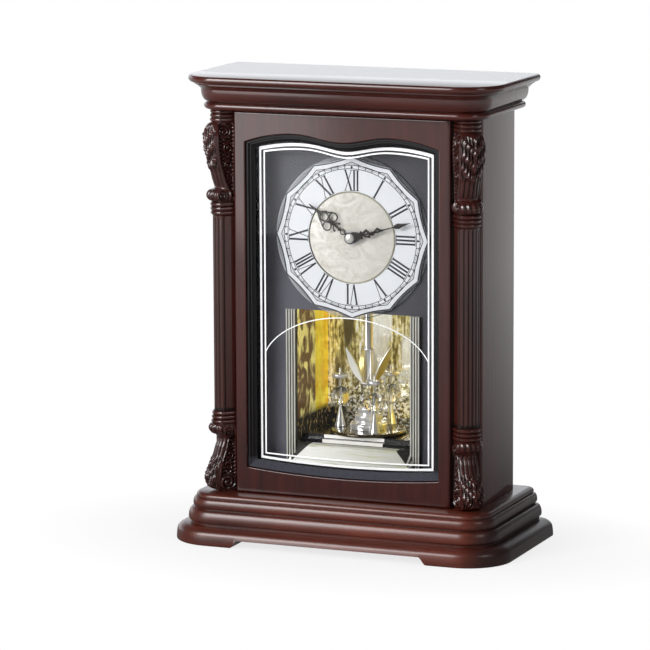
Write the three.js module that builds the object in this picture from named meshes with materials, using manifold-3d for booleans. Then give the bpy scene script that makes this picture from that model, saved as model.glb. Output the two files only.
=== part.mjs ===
// Pendulum desk clock in a dark lacquered wooden case: a moulded base and cornice, carved corner
// columns on the diagonal, a glazed front, a twelve-pointed dial and, below it, a mirrored chamber
// in which a crystal carousel turns. Millimetres, +X to the right, +Y to the back, +Z up. The origin
// is the centre of the base on the surface that the clock stands on.

import * as THREE from 'three';
import Module from 'manifold-3d';
import { mergeVertices } from 'three/addons/utils/BufferGeometryUtils.js';

const wasm = await Module();
wasm.setup();

// Whole clock
const caseHeight = 340;
const baseWidth = 258;
const baseDepth = 126;

// Clearances shared by the pieces
const glueGap = 0.1;
const fitGap = 0.3;
const overrun = 3;
const weldTolerance = 1e-5;

// Base: three moulded boards, rounded at the front corners and square at the back
const bottomBoardHeight = 12.8;
const middleMouldingHeight = 10.8;
const topMouldingHeight = 11.7;
const baseFrontRadius = 33;
const backCornerRadius = 3;
const bottomBoardStraight = 6.6;
const bottomBoardRounding = 9;
const bottomArris = 0.8;
const middleInset = 8.9;
const middleRounding = 2.8;
const middleFilletDepth = 1.7;
const middleFilletHeight = 1.3;
const topInset = 12.4;
const topRounding = 2;
const topQuirkDepth = 1.2;
const topShoulderHeight = 3.2;
const topShoulderDepth = 3.4;
const footGapHeight = 5.7;
const footGapHalfWidth = 70;
const footOgeeWidth = 6;

// Case body, set in from the base on each side
const bodyMargin = 25.5;
const bodyHalfWidth = baseWidth / 2 - bodyMargin;
const bodyBack = 45;
const sidePanelThickness = 8;
const frameFront = -33;
const frameMargin = 21;
const frameHalfWidth = bodyHalfWidth - frameMargin;
const frameThickness = 12;
const frameArris = 1.2;
const maskFront = -9;
const maskThickness = 2;

// Cornice and top board
const topMargin = 8.9;
const topHalfWidth = baseWidth / 2 - topMargin;
const topFront = -52;
const topBack = 55.4;
const topFrontRadius = 30;
const topBoardHeight = 10;
const corniceHeight = 15;
const corniceFootInset = 14.1;
const corniceBeadInset = 11.1;
const corniceBeadHeight = 5.3;
const corniceQuirkInset = 13.6;
const corniceOvoloInset = 9;
const corniceFilletHeight = 1;
const noseHeight = 5.8;
const noseRounding = 4.4;
const nosePeakHeight = 2.6;
const topBoardFillet = 1;
const topBoardFootInset = 8.8;

// Window in the front frame: a shallow double bow at the top and a sagging sill line
const stileWidth = 8.2;
const windowHalfWidth = frameHalfWidth - stileWidth;
const windowSill = 54.6;
const windowSag = 3.8;
const windowHead = 22.6;
const windowPeakRise = 6.8;
const windowDipRise = 2;
const windowPeakShare = 0.49;

// Bezel, glass and retainer, given as steps inwards from the window and backwards from its face
const bezelRecess = 2;
const bezelStepWidth = 1.7;
const bezelStepDepth = 1.7;
const bezelWidth = 5.6;
const bezelLip = 1.2;
const bezelWall = 3.1;
const glassThickness = 2.5;
const retainerWidth = 4.9;
const retainerThickness = 2.4;

// Corner columns, set on the diagonal
const columnAxisInset = 6.9;
const columnAxisSetback = 3.2;
const columnHalfWidth = 8;
const columnFlank = 9;
const columnCrown = 3.8;
const columnReeds = 4;
const reedSteps = 3;
const reedDepth = 0.9;
const columnReach = 11.6;
const columnEdge = 0.4;
const columnShoulder = 2.2;
const footTop = 76;
const lowerRingTop = 95;
const neckHeight = 9;
const capitalHeight = 48;
const scrollHeight = 20;
const neckRings = 3;
const voluteRadius = 4.4;
const voluteRaise = 0.7;
const innerVoluteRadius = 5.2;
const innerVoluteSetback = 2.6;

// Dial
const dialCentreShare = 0.6588;
const dialRadius = 58;
const dialPoints = 12;
const dialHollow = 1.1;
const dialThickness = 1.5;
const dialBackingRadius = 59.5;
const dialBackingThickness = 1.2;
const pearlRadius = 32.4;
const pearlThickness = 0.6;
const pearlRingWidth = 0.9;
const pearlRingThickness = 0.9;

// Hands and their centre work
const stemRadius = 3.9;
const stemBore = 2.8;
const nutRadius = 5.2;
const nutHeight = 1.2;
const hourSleeveRadius = 2.3;
const hourSleeveBore = 1.6;
const minuteArborRadius = 1.2;
const handThickness = 0.5;
const handSpacing = 1.1;
const handCapRadius = 2.9;
const handCapHeight = 1.8;
const hourHandLength = 39;
const minuteHandLength = 47.8;
const hourHandTurnDeg = 306;
const minuteHandTurnDeg = 74;

// Quartz movement and its cell
const movementSize = 56;
const movementDepth = 16;
const movementCorner = 4;
const movementWall = 1.4;
const aaRadius = 7.1;
const aaLength = 50;
const aaTipRadius = 2.7;
const aaTipLength = 1;
const knobRadius = 7.5;
const knobHeight = 5;
const knobOffset = 11;
const knobArborRadius = 1.5;
const knobArborDepth = 4;
const knobFlutes = 12;
const knobFluteDepth = 0.6;

// Pendulum chamber
const chamberHalfWidth = 45;
const chamberBack = 50.5;
const mirrorThickness = 2;
const mirrorLift = 4.7;
const chamberTopShare = 0.5;
const ceilingThickness = 2;
const stageTopShare = 0.2235;
const stageThickness = 14;
const stageStepDepth = 3.4;
const stageStepHeight = 3;
const openingTopDrop = 1;
const openingSill = 60;

// Window trim of the chamber: two reeded pillars and a sloping sill
const pillarWidth = 8;
const pillarDepth = 3.2;
const pillarReeds = 4;
const sillFront = -21.6;
const sillFoot = 58.3;
const sillLowHalfWidth = 47.5;
const sillHighHalfWidth = 37;
const sillTop = 70;
const sillLean = 3.6;
const sillEdge = 1.2;

// Carousel
const carouselY = 20;
const rotorDiscRadius = 28;
const rotorDiscThickness = 2.4;
const rotorShaftRadius = 1.8;
const shaftClearance = 0.5;
const shaftEndGap = 1.8;
const pedestalRadius = 14;
const pedestalHeight = 16.3;
const crystalColumnRadius = 5.6;
const crystalColumnHeight = 15.8;
const crystalColumnFacets = 10;
const tubeRadius = 3.3;
const tubeTopGap = 2;
const cupRadius = 7;
const cupHeight = 2.2;
const collarRadius = 4.8;
const collarHeight = 1.6;
const collarRise = 61.7;
const topPinRadius = 1.4;
const pendantCount = 3;
const pendantCircle = 22;
const pendantTurnDeg = 183;
const pendantConeRadius = 4.1;
const pendantConeHeight = 14.5;
const pendantRodRadius = 0.9;
const pendantCapRadius = 6.2;
const pendantCapThickness = 3.2;
const pendantCapRise = 39.2;
const pendantTopRise = 46;
const ballRadius = 7.6;
const ballRise = 25.5;
const ballBore = 1.2;
const petalTurnDeg = 49.5;
const petalFootRadius = 5;
const petalHalfWidth = 6;
const petalLength = 30;
const petalThickness = 1;
const petalLeanDeg = 27;

// Pendulum drive under the stage
const driveWidth = 56;
const driveDepth = 36;
const driveSocketDepth = 7;

// Battery holder for the pendulum and the chime, on the chamber's ceiling
const cCellRadius = 13.1;
const cCellLength = 50;
const cTipRadius = 3.2;
const cTipLength = 1.5;
const holderWall = 2.2;
const holderSide = 13;
const cellGap = 0.6;

// Rear cover and its door
const coverInset = 3.5;
const coverFlange = 2;
const coverWall = 2;
const coverDepth = 10;
const coverStep = 12;
const coverMargin = 1.9;
const doorHalfWidth = 57.6;
const doorRise = 10.6;
const doorHead = 24.9;
const doorGap = 0.4;
const doorThickness = 2;
const hingeRadius = 2;
const hingePinRadius = 0.8;
const hingePinClearance = 0.15;
const hingeDrop = 2.8;
const hingeKnuckleLength = 9;
const hingeKnuckleX = 40;

// Chime speaker and sound switch
const speakerMargin = 2.5;
const speakerDepth = 10;
const speakerMagnetShare = 0.53;
const speakerRise = 56.6;
const grilleSlots = 5;
const grilleSlotShare = 1.3;
const grilleSlotWidth = 2.4;
const grillePitch = 5;
const switchRise = 60.6;
const switchTravel = 4;
const switchStemWidth = 3;
const switchStemHeight = 3;
const switchPlateLength = 14;
const switchPlateHeight = 7;
const switchPlateThickness = 1.4;
const switchNubHeight = 1.6;

// Facets of round work
const fineSides = 32;
const smallSides = 16;
const rodSides = 12;
const cornerSteps = 5;
const arcSteps = 4;

// Levels and places worked out from the sizes above
const baseTop = bottomBoardHeight + middleMouldingHeight + topMouldingHeight;
const corniceFoot = caseHeight - topBoardHeight - corniceHeight;
const bodyFoot = baseTop + glueGap;
const bodyTop = corniceFoot - glueGap;
const bodyInner = bodyHalfWidth - sidePanelThickness;
const windowCorner = corniceFoot - windowHead;
const windowPeak = windowCorner + windowPeakRise;
const windowDip = windowCorner + windowDipRise;
const columnAxisX = bodyHalfWidth - columnAxisInset;
const columnAxisY = frameFront + columnAxisSetback;
const capitalTop = corniceFoot - neckHeight;
const scrollTop = capitalTop - capitalHeight;
const upperRingFoot = scrollTop - scrollHeight;
const maskBack = maskFront + maskThickness;
const glassBack = frameFront + bezelRecess + 2 * bezelStepDepth + bezelLip + 2 * fitGap + glassThickness;
const dialCentreZ = caseHeight * dialCentreShare;
const dialBack = maskFront - fitGap / 2;
const stemFront = dialBack - dialBackingThickness - dialThickness - pearlThickness - nutHeight - 1.2 * fitGap;
const chamberTop = caseHeight * chamberTopShare;
const openingTop = chamberTop - openingTopDrop;
const stageTop = caseHeight * stageTopShare;
const rotorShaftLength = shaftClearance + stageThickness + fitGap + driveSocketDepth - shaftEndGap;
const tubeTop = chamberTop - tubeTopGap;
const collarZ = stageTop + collarRise;
const pendantCapZ = stageTop + pendantCapRise;
const pendantTop = stageTop + pendantTopRise;
const ballZ = stageTop + ballRise;
const coverHalfWidth = bodyHalfWidth - coverInset;
const coverBack = bodyBack + coverDepth;
const mirrorFoot = bodyFoot + coverMargin + coverStep + coverWall + mirrorLift;
const doorFoot = chamberTop + doorRise;
const doorTop = bodyTop - doorHead;
const coverInner = coverHalfWidth - coverStep - coverWall;
const besideChamber = (coverInner + chamberHalfWidth + mirrorThickness) / 2;
const speakerRadius = coverInner - besideChamber - speakerMargin;
const speakerMagnetRadius = speakerRadius * speakerMagnetShare;
const speakerX = besideChamber;
const speakerZ = bodyFoot + speakerRise;
const grilleSlotLength = speakerRadius * grilleSlotShare;
const switchX = -besideChamber;
const switchZ = bodyFoot + switchRise;

const group = new THREE.Group();

function finish(color, roughness, metalness) {
  return new THREE.MeshStandardMaterial({ color, roughness, metalness });
}

function addPiece(parent, name, geometry, material) {
  const mesh = new THREE.Mesh(geometry, material);
  mesh.name = name;
  parent.add(mesh);
  return mesh;
}

// A copy of a geometry that holds only positions and shared corners, without collapsed triangles
function weld(geometry) {
  const bare = geometry.clone();
  bare.deleteAttribute('normal');
  bare.deleteAttribute('uv');
  const merged = mergeVertices(bare, weldTolerance);
  const corners = Array.from(merged.index.array);
  const kept = [];
  for (let i = 0; i < corners.length; i += 3) {
    const [a, b, c] = corners.slice(i, i + 3);
    if (a !== b && b !== c && c !== a) {
      kept.push(a, b, c);
    }
  }
  merged.setIndex(kept);
  return merged;
}

function toSolid(geometry) {
  const bare = weld(geometry);
  return new wasm.Manifold(new wasm.Mesh({
    numProp: 3,
    vertProperties: new Float32Array(bare.attributes.position.array),
    triVerts: new Uint32Array(bare.index.array),
  }));
}

function fromSolid(solid) {
  const mesh = solid.getMesh();
  const geometry = new THREE.BufferGeometry();
  geometry.setAttribute('position', new THREE.BufferAttribute(new Float32Array(mesh.vertProperties), 3));
  geometry.setIndex(new THREE.BufferAttribute(new Uint32Array(mesh.triVerts), 1));
  geometry.computeVertexNormals();
  return geometry;
}

function cut(geometry, ...cutters) {
  const tools = cutters.map(toSolid).reduce((sum, tool) => sum.add(tool));
  return fromSolid(toSolid(geometry).subtract(tools));
}

function join(...geometries) {
  return fromSolid(geometries.map(toSolid).reduce((sum, piece) => sum.add(piece)));
}

// Box between two corners
function boxBetween(low, high) {
  const size = high.map((value, i) => value - low[i]);
  const box = new THREE.BoxGeometry(...size);
  return box.translate(...low.map((value, i) => value + size[i] / 2));
}

// Flat outline in the upright XZ plane, from its front face backwards
function plate(shape, front, thickness, options = {}) {
  const settings = { depth: thickness, bevelEnabled: false, curveSegments: fineSides / 2, ...options };
  const geometry = new THREE.ExtrudeGeometry(shape, settings);
  return geometry.rotateX(Math.PI / 2).translate(0, front + thickness, 0);
}

// Flat outline in the level XY plane, from its foot upwards
function prism(points, foot, height) {
  const shape = new THREE.Shape(points.map(([x, y]) => new THREE.Vector2(x, y)));
  return new THREE.ExtrudeGeometry(shape, { depth: height, bevelEnabled: false }).translate(0, 0, foot);
}

// Round work about an upright axis: [radius, height] pairs from the foot to the top, on the axis
function turned(profile, sides = fineSides) {
  const points = profile.map(([r, z]) => new THREE.Vector2(r, z));
  return new THREE.LatheGeometry(points, sides).rotateX(Math.PI / 2);
}

// Round work about an axis along Y: [radius, y] pairs, from the front to the back
function turnedAlongY(profile, sides = fineSides) {
  const points = profile.map(([r, y]) => new THREE.Vector2(r, y)).reverse();
  const geometry = new THREE.LatheGeometry(points, sides);
  return orient(weld(geometry));
}

// Turns every face outwards, judged by the sign of the enclosed volume
function orient(geometry) {
  const p = geometry.attributes.position;
  const index = Array.from(geometry.index.array);
  const [a, b, c] = [new THREE.Vector3(), new THREE.Vector3(), new THREE.Vector3()];
  let volume = 0;
  for (let i = 0; i < index.length; i += 3) {
    a.fromBufferAttribute(p, index[i]);
    b.fromBufferAttribute(p, index[i + 1]);
    c.fromBufferAttribute(p, index[i + 2]);
    volume += a.dot(b.cross(c));
  }
  if (volume < 0) {
    for (let i = 0; i < index.length; i += 3) {
      [index[i + 1], index[i + 2]] = [index[i + 2], index[i + 1]];
    }
    geometry.setIndex(index);
  }
  geometry.computeVertexNormals();
  return geometry;
}

// Solid between stacked level rings with equally many points each
function loft(levels) {
  const turn = THREE.ShapeUtils.area(levels[0].map(([x, y]) => new THREE.Vector2(x, y)));
  const rings = turn < 0 ? levels.map((ring) => [...ring].reverse()) : levels;
  const count = rings[0].length;
  const index = [];
  for (let j = 0; j + 1 < rings.length; j += 1) {
    for (let i = 0; i < count; i += 1) {
      const next = (i + 1) % count;
      const [low, high] = [j * count, (j + 1) * count];
      index.push(low + i, low + next, high + next, low + i, high + next, high + i);
    }
  }
  const middle = (ring) => [0, 1, 2].map((axis) => ring.reduce((sum, point) => sum + point[axis], 0) / count);
  const [last, foot] = [(rings.length - 1) * count, rings.length * count];
  for (let i = 0; i < count; i += 1) {
    const next = (i + 1) % count;
    index.push(foot, next, i, foot + 1, last + i, last + next);
  }
  const points = [...rings.flat(), middle(rings[0]), middle(rings[rings.length - 1])];
  const geometry = new THREE.BufferGeometry();
  geometry.setAttribute('position', new THREE.Float32BufferAttribute(points.flat(), 3));
  geometry.setIndex(index);
  return orient(geometry);
}

// Closed frame: a section of [inset, y] pairs carried round the window's outline
function windowRing(section) {
  const loops = section.map(([inset, y]) => windowOutline(inset).map(([x, z]) => [x, y, z]));
  const count = loops[0].length;
  const index = [];
  loops.forEach((_, j) => {
    const [here, there] = [j * count, ((j + 1) % loops.length) * count];
    for (let i = 0; i < count; i += 1) {
      const next = (i + 1) % count;
      index.push(here + i, here + next, there + next, here + i, there + next, there + i);
    }
  });
  const geometry = new THREE.BufferGeometry();
  geometry.setAttribute('position', new THREE.Float32BufferAttribute(loops.flat(2), 3));
  geometry.setIndex(index);
  return orient(geometry);
}

// Rounded oblong seen from above, rounder at the front than at the back, drawn in by an inset at
// the sides and the front only
function footprint(halfWidth, front, back, frontRadius, inset) {
  const x = halfWidth - inset;
  const y = front + inset;
  const r = Math.max(frontRadius - inset, backCornerRadius);
  const points = [];
  const addCorner = (cx, cy, radius, from, steps) => {
    for (let i = 0; i <= steps; i += 1) {
      const angle = from + (i / steps) * Math.PI / 2;
      points.push([cx + radius * Math.cos(angle), cy + radius * Math.sin(angle)]);
    }
  };
  addCorner(x - backCornerRadius, back - backCornerRadius, backCornerRadius, 0, 2);
  addCorner(backCornerRadius - x, back - backCornerRadius, backCornerRadius, Math.PI / 2, 2);
  addCorner(r - x, y + r, r, Math.PI, cornerSteps);
  addCorner(x - r, y + r, r, 1.5 * Math.PI, cornerSteps);
  return points;
}

function baseBoard(profile) {
  const half = baseDepth / 2;
  return loft(profile.map(([inset, z]) =>
    footprint(baseWidth / 2, -half, half, baseFrontRadius, inset).map(([x, y]) => [x, y, z])));
}

function topBoard(profile) {
  return loft(profile.map(([inset, z]) =>
    footprint(topHalfWidth, topFront, topBack, topFrontRadius, inset).map(([x, y]) => [x, y, z])));
}

// Quarter of an ellipse between two [inset, z] points, upright at the first and level at the second
function quarterTo(from, to, steps = arcSteps) {
  return Array.from({ length: steps }, (_, i) => {
    const angle = ((i + 1) / steps) * Math.PI / 2;
    return [from[0] + (to[0] - from[0]) * (1 - Math.cos(angle)), from[1] + (to[1] - from[1]) * Math.sin(angle)];
  });
}

// The same quarter run the other way: level at the first point and upright at the second
function quarterFrom(from, to, steps = arcSteps) {
  return quarterTo(to, from, steps).reverse().slice(1).concat([to]);
}

function bottomBoard() {
  const side = [0, bottomBoardStraight];
  const solid = baseBoard([
    [bottomArris, 0],
    [0, bottomArris],
    side,
    ...quarterTo(side, [bottomBoardRounding, bottomBoardHeight]),
  ]);
  const wide = footGapHalfWidth + footOgeeWidth;
  const gap = new THREE.Shape();
  gap.moveTo(-wide, -overrun);
  gap.lineTo(wide, -overrun);
  gap.lineTo(wide, 0);
  gap.quadraticCurveTo(footGapHalfWidth + footOgeeWidth / 3, footGapHeight, footGapHalfWidth, footGapHeight);
  gap.lineTo(-footGapHalfWidth, footGapHeight);
  gap.quadraticCurveTo(-footGapHalfWidth - footOgeeWidth / 3, footGapHeight, -wide, 0);
  const tunnel = plate(gap, -baseDepth / 2 - overrun, baseDepth + 2 * overrun, { curveSegments: arcSteps });
  return cut(solid, tunnel);
}

function middleMoulding() {
  const foot = bottomBoardHeight + glueGap;
  const top = bottomBoardHeight + middleMouldingHeight;
  const fillet = foot + middleFilletHeight;
  const belly = fillet + (top - fillet) / 3;
  const inner = middleInset + middleFilletDepth;
  return baseBoard([
    [inner, foot],
    [inner, fillet],
    ...quarterFrom([inner, fillet], [middleInset, belly], 3),
    ...quarterTo([middleInset, belly + middleFilletHeight], [middleInset + middleRounding, top]),
  ]);
}

function topMoulding() {
  const foot = bottomBoardHeight + middleMouldingHeight + glueGap;
  const shoulder = baseTop - topShoulderHeight;
  const belly = foot + (shoulder - foot) / 3;
  const shoulderInset = topInset + topRounding + topQuirkDepth / 2;
  return baseBoard([
    [topInset + topQuirkDepth, foot],
    ...quarterFrom([topInset + topQuirkDepth, foot], [topInset, belly], 3),
    ...quarterTo([topInset, belly + middleFilletHeight], [topInset + topRounding, shoulder - topQuirkDepth / 2]),
    [shoulderInset + topQuirkDepth / 2, shoulder - topQuirkDepth / 2],
    [shoulderInset + topQuirkDepth / 2, shoulder],
    [shoulderInset, shoulder],
    ...quarterTo([shoulderInset, shoulder + topQuirkDepth / 2], [shoulderInset + topShoulderDepth, baseTop]),
  ]);
}

function corniceMoulding() {
  const foot = corniceFoot;
  const beadTop = foot + corniceBeadHeight;
  const beadMiddle = foot + corniceBeadHeight / 2;
  const ovoloTop = foot + corniceHeight - corniceFilletHeight - glueGap;
  const ovoloFoot = beadTop + topQuirkDepth / 4;
  const ovolo = quarterTo([corniceOvoloInset, ovoloTop], [corniceQuirkInset, ovoloFoot]).reverse();
  return topBoard([
    [corniceFootInset, foot],
    ...quarterFrom([corniceFootInset, foot], [corniceBeadInset, beadMiddle], 3),
    ...quarterTo([corniceBeadInset, beadMiddle], [corniceQuirkInset, beadTop], 3),
    ...ovolo,
    [corniceOvoloInset, ovoloTop],
    [corniceOvoloInset, foot + corniceHeight - glueGap],
  ]);
}

function crownBoard() {
  const foot = caseHeight - topBoardHeight;
  const noseFoot = caseHeight - noseHeight;
  const nosePeak = caseHeight - nosePeakHeight;
  return topBoard([
    [topBoardFootInset, foot],
    [noseRounding + topBoardFillet, noseFoot - topBoardFillet],
    [noseRounding, noseFoot - topBoardFillet],
    [noseRounding, noseFoot],
    ...quarterFrom([noseRounding, noseFoot], [0, nosePeak]),
    ...quarterTo([0, nosePeak], [nosePeakHeight / 2, caseHeight], 3),
  ]);
}

// Window outline in the XZ plane, drawn in by an inset. The top is a double bow: a cosine from the
// dip in the middle to each peak, then a parabola down to the corner. An inset keeps to the same bow
// and shortens it at its ends.
function windowOutline(inset) {
  const half = windowHalfWidth - inset;
  const across = 16;
  const along = (share) => share * half / windowHalfWidth;
  const bow = (share) => {
    const s = Math.abs(along(share));
    if (s < windowPeakShare) {
      return windowDip + (windowPeak - windowDip) * (1 - Math.cos(Math.PI * s / windowPeakShare)) / 2;
    }
    return windowPeak - (windowPeak - windowCorner) * ((s - windowPeakShare) / (1 - windowPeakShare)) ** 2;
  };
  const points = [];
  for (let i = 0; i <= across; i += 1) {
    const share = -1 + 2 * i / across;
    points.push([share * half, bow(share) - inset]);
  }
  const below = across / 2;
  for (let i = 0; i <= below; i += 1) {
    const share = 1 - 2 * i / below;
    points.push([share * half, windowSill - windowSag * (1 - along(share) ** 2) + inset]);
  }
  return points;
}

function windowPath(PathClass, inset) {
  return new PathClass(windowOutline(inset).map(([x, z]) => new THREE.Vector2(x, z)));
}

function frontFrame() {
  const shape = new THREE.Shape([
    new THREE.Vector2(-frameHalfWidth, bodyFoot),
    new THREE.Vector2(frameHalfWidth, bodyFoot),
    new THREE.Vector2(frameHalfWidth, bodyTop),
    new THREE.Vector2(-frameHalfWidth, bodyTop),
  ]);
  shape.holes.push(windowPath(THREE.Path, -frameArris));
  const geometry = new THREE.ExtrudeGeometry(shape, {
    depth: frameThickness - 2 * frameArris,
    bevelEnabled: true,
    bevelThickness: frameArris,
    bevelSize: frameArris,
    bevelOffset: -frameArris,
    bevelSegments: 1,
  });
  return geometry.rotateX(Math.PI / 2).translate(0, frameFront + frameThickness - frameArris, 0);
}

function glassBezel() {
  const face = frameFront + bezelRecess;
  const back = frameFront + frameThickness;
  const second = face + bezelStepDepth;
  const third = second + bezelStepDepth;
  const lip = third + bezelLip;
  return windowRing([
    [fitGap, face],
    [fitGap + bezelStepWidth, face],
    [fitGap + bezelStepWidth, second],
    [fitGap + 2 * bezelStepWidth, second],
    [fitGap + 2 * bezelStepWidth, third],
    [bezelWidth, third + bezelLip / 2],
    [bezelWidth, lip],
    [bezelWall, lip],
    [bezelWall, back],
    [fitGap, back],
  ]);
}

function frontGlass() {
  return plate(windowPath(THREE.Shape, bezelWall + fitGap), glassBack - glassThickness, glassThickness);
}

function glassRetainer() {
  const front = frameFront + frameThickness + fitGap;
  const tongue = glassBack + fitGap;
  return windowRing([
    [fitGap, front],
    [bezelWall + fitGap, front],
    [bezelWall + fitGap, tongue],
    [retainerWidth, tongue],
    [retainerWidth, front + retainerThickness],
    [fitGap, front + retainerThickness],
  ]);
}

// Side panel: its front edge is mitred to take the column's outer flank
function sidePanel(side) {
  const flankX = columnAxisX + (columnHalfWidth + fitGap) * Math.SQRT1_2;
  const flankY = columnAxisY + (columnHalfWidth + fitGap) * Math.SQRT1_2;
  const inner = bodyInner;
  const mitre = (x) => flankY + (flankX - x);
  const outline = [
    [side * inner, bodyBack],
    [side * inner, mitre(inner)],
    [side * bodyHalfWidth, mitre(bodyHalfWidth)],
    [side * bodyHalfWidth, bodyBack],
  ];
  return prism(side > 0 ? outline : outline.reverse(), bodyFoot, bodyTop - bodyFoot);
}

// Corner post behind a column: it carries the column, the frame's edge and the side panel
function cornerPost(side) {
  const backLine = columnFlank + fitGap;
  const seatX = columnAxisX - backLine * Math.SQRT1_2;
  const seatY = columnAxisY + backLine * Math.SQRT1_2;
  const outer = bodyInner - fitGap;
  const inner = frameHalfWidth + fitGap;
  const seat = (x) => seatY + (x - seatX);
  const back = maskFront - fitGap;
  const outline = [
    [side * inner, back],
    [side * inner, seat(inner)],
    [side * outer, seat(outer)],
    [side * outer, back],
  ];
  return prism(side > 0 ? outline : outline.reverse(), bodyFoot, bodyTop - bodyFoot);
}

// Flank of a column from its back to its front edge. The outer flank lies against the side panel, so
// it widens only where it stands clear of that. The inner flank is free and widens along its length.
function columnFlankPoints(widthShare, edge, inner) {
  const back = columnHalfWidth * Math.min(widthShare, 1);
  const clear = inner || edge < -columnShoulder - columnEdge;
  const front = clear ? columnHalfWidth * widthShare : back;
  const line = inner ? columnFlank - columnEdge : -columnShoulder;
  const shoulder = clear ? line : edge + columnEdge;
  const start = clear ? line - columnEdge : edge + columnEdge / 2;
  return [[back, columnFlank], [back, shoulder], [front, start], [front, edge]];
}

// Section of a column seen from above, facing -Y: two flanks and a crowned front. The inner side is 1
// or -1. A reed share of one cuts the front into rounded reeds.
function columnSection(widthShare, reach, reedShare, innerSide) {
  const frontPoints = columnReeds * reedSteps;
  const crown = columnCrown * widthShare;
  const edge = crown - reach;
  const right = columnFlankPoints(widthShare, edge, innerSide > 0);
  const left = columnFlankPoints(widthShare, edge, innerSide < 0);
  const reachRight = right[right.length - 1][0];
  const reachLeft = left[left.length - 1][0];
  const points = [...right];
  for (let i = 1; i < frontPoints; i += 1) {
    const share = 1 - 2 * i / frontPoints;
    const arc = crown * (1 - share ** 2);
    const wave = Math.abs(Math.sin(columnReeds * Math.PI * i / frontPoints));
    points.push([share * (share > 0 ? reachRight : reachLeft), edge - arc + reedShare * reedDepth * (1 - wave)]);
  }
  points.push(...left.reverse().map(([x, y]) => [-x, y]));
  return points;
}

// Column piece from runs of [foot, top, rows], each row [height, reach, width and reed share]
function columnPiece(innerSide, ...runs) {
  return loft(runs.flatMap(([foot, top, rows]) =>
    rows.map(([heightShare, reachShare, widthShare, reedShare]) =>
      columnSection(widthShare, columnReach * reachShare, reedShare, innerSide)
        .map(([x, y]) => [x, y, foot + (top - foot) * heightShare]))));
}

// Scrolled foot with the rings and the beaded scroll above it
function columnFoot(innerSide) {
  const footShares = [
    [0, 0.1, 0.9, 0],
    [0.06, 0.5, 0.94, 0],
    [0.12, 0.86, 1, 0],
    [0.22, 1, 1.05, 0],
    [0.34, 0.93, 1.06, 0.3],
    [0.48, 0.74, 1.03, 0.6],
    [0.64, 0.52, 1, 0.8],
    [0.8, 0.32, 0.97, 1],
    [0.97, 0.06, 0.92, 1],
  ];
  const ringShares = [
    [0, 0.2, 0.94, 0],
    [0.1, 0.6, 1.08, 0],
    [0.26, 0.66, 1.14, 0],
    [0.4, 0.56, 1.08, 0],
    [0.44, 0.42, 0.98, 0],
    [0.5, 0.54, 1.1, 0],
    [0.62, 0.54, 1.1, 0],
    [0.68, 0.4, 0.98, 0],
    [0.74, 0.53, 1.1, 0],
    [0.9, 0.52, 1.09, 0],
    [1, 0.36, 0.98, 0],
  ];
  const body = columnPiece(innerSide, [bodyFoot, footTop, footShares], [footTop, lowerRingTop, ringShares]);
  const outerZ = bodyFoot + voluteRadius + fitGap;
  const innerZ = bodyFoot + innerVoluteRadius + fitGap;
  return join(
    body,
    volute(-innerSide, voluteRadius, -voluteRadius - columnShoulder, outerZ),
    volute(innerSide, innerVoluteRadius, innerVoluteSetback, innerZ),
  );
}

// Raised spiral boss on a flank: a stepped disc along the flank's normal
function volute(side, radius, y, z) {
  const sink = columnHalfWidth / 2;
  const profile = [
    [0, 0],
    [radius, 0],
    [radius, sink + voluteRaise],
    [radius * 0.72, sink + voluteRaise],
    [radius * 0.66, sink + voluteRaise / 3],
    [radius * 0.4, sink + voluteRaise / 3],
    [radius * 0.3, sink + voluteRaise],
    [0, sink + voluteRaise],
  ];
  const disc = turned(profile, smallSides).rotateY(side * Math.PI / 2);
  return orient(weld(disc.translate(side * (columnHalfWidth - sink), y, z)));
}

function columnShaft(innerSide) {
  const reach = columnCrown / columnReach;
  return columnPiece(innerSide, [lowerRingTop + glueGap, upperRingFoot - glueGap, [
    [0, reach, 1, 0.2],
    [0.02, reach, 1, 1],
    [0.98, reach, 1, 1],
    [1, reach, 1, 0.2],
  ]]);
}

// Rings and scroll under the leafy bulge of the capital, and three small rings above it
function columnCapital(innerSide) {
  const ringShares = [
    [0, 0.36, 0.98, 0],
    [0.08, 0.46, 1.09, 0],
    [0.2, 0.46, 1.1, 0],
    [0.26, 0.38, 0.98, 0],
    [0.33, 0.47, 1.1, 0],
    [0.44, 0.47, 1.1, 0],
    [0.5, 0.38, 0.98, 0],
    [0.56, 0.5, 1.08, 0],
    [0.7, 0.69, 1.14, 0],
    [0.9, 0.54, 1.08, 0],
    [0.98, 0.14, 0.98, 0],
  ];
  const leafShares = [
    [0, 0.12, 0.96, 0.4],
    [0.11, 0.33, 1, 0.8],
    [0.26, 0.48, 1.04, 0.8],
    [0.42, 0.62, 1.1, 0.6],
    [0.58, 0.79, 1.16, 0.4],
    [0.74, 0.87, 1.18, 0.2],
    [0.86, 0.82, 1.14, 0],
    [0.95, 0.66, 1.04, 0],
    [0.98, 0.5, 0.96, 0],
  ];
  const neckShares = [];
  for (let ring = 0; ring < neckRings; ring += 1) {
    const start = ring / neckRings;
    neckShares.push([start, 0.34, 0.94, 0], [start + 0.1, 0.46, 1.08, 0], [start + 0.24, 0.45, 1.08, 0]);
  }
  neckShares.push([1, 0.34, 0.94, 0]);
  return columnPiece(
    innerSide,
    [upperRingFoot, scrollTop, ringShares],
    [scrollTop, capitalTop, leafShares],
    [capitalTop, bodyTop, neckShares],
  );
}

function addColumn(side, name, material) {
  const column = new THREE.Group();
  column.position.set(side * columnAxisX, columnAxisY, 0);
  column.rotation.z = side * Math.PI / 4;
  addPiece(column, `${name}_column_foot`, columnFoot(-side), material);
  addPiece(column, `${name}_column_shaft`, columnShaft(-side), material);
  addPiece(column, `${name}_column_capital`, columnCapital(-side), material);
  group.add(column);
}

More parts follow.
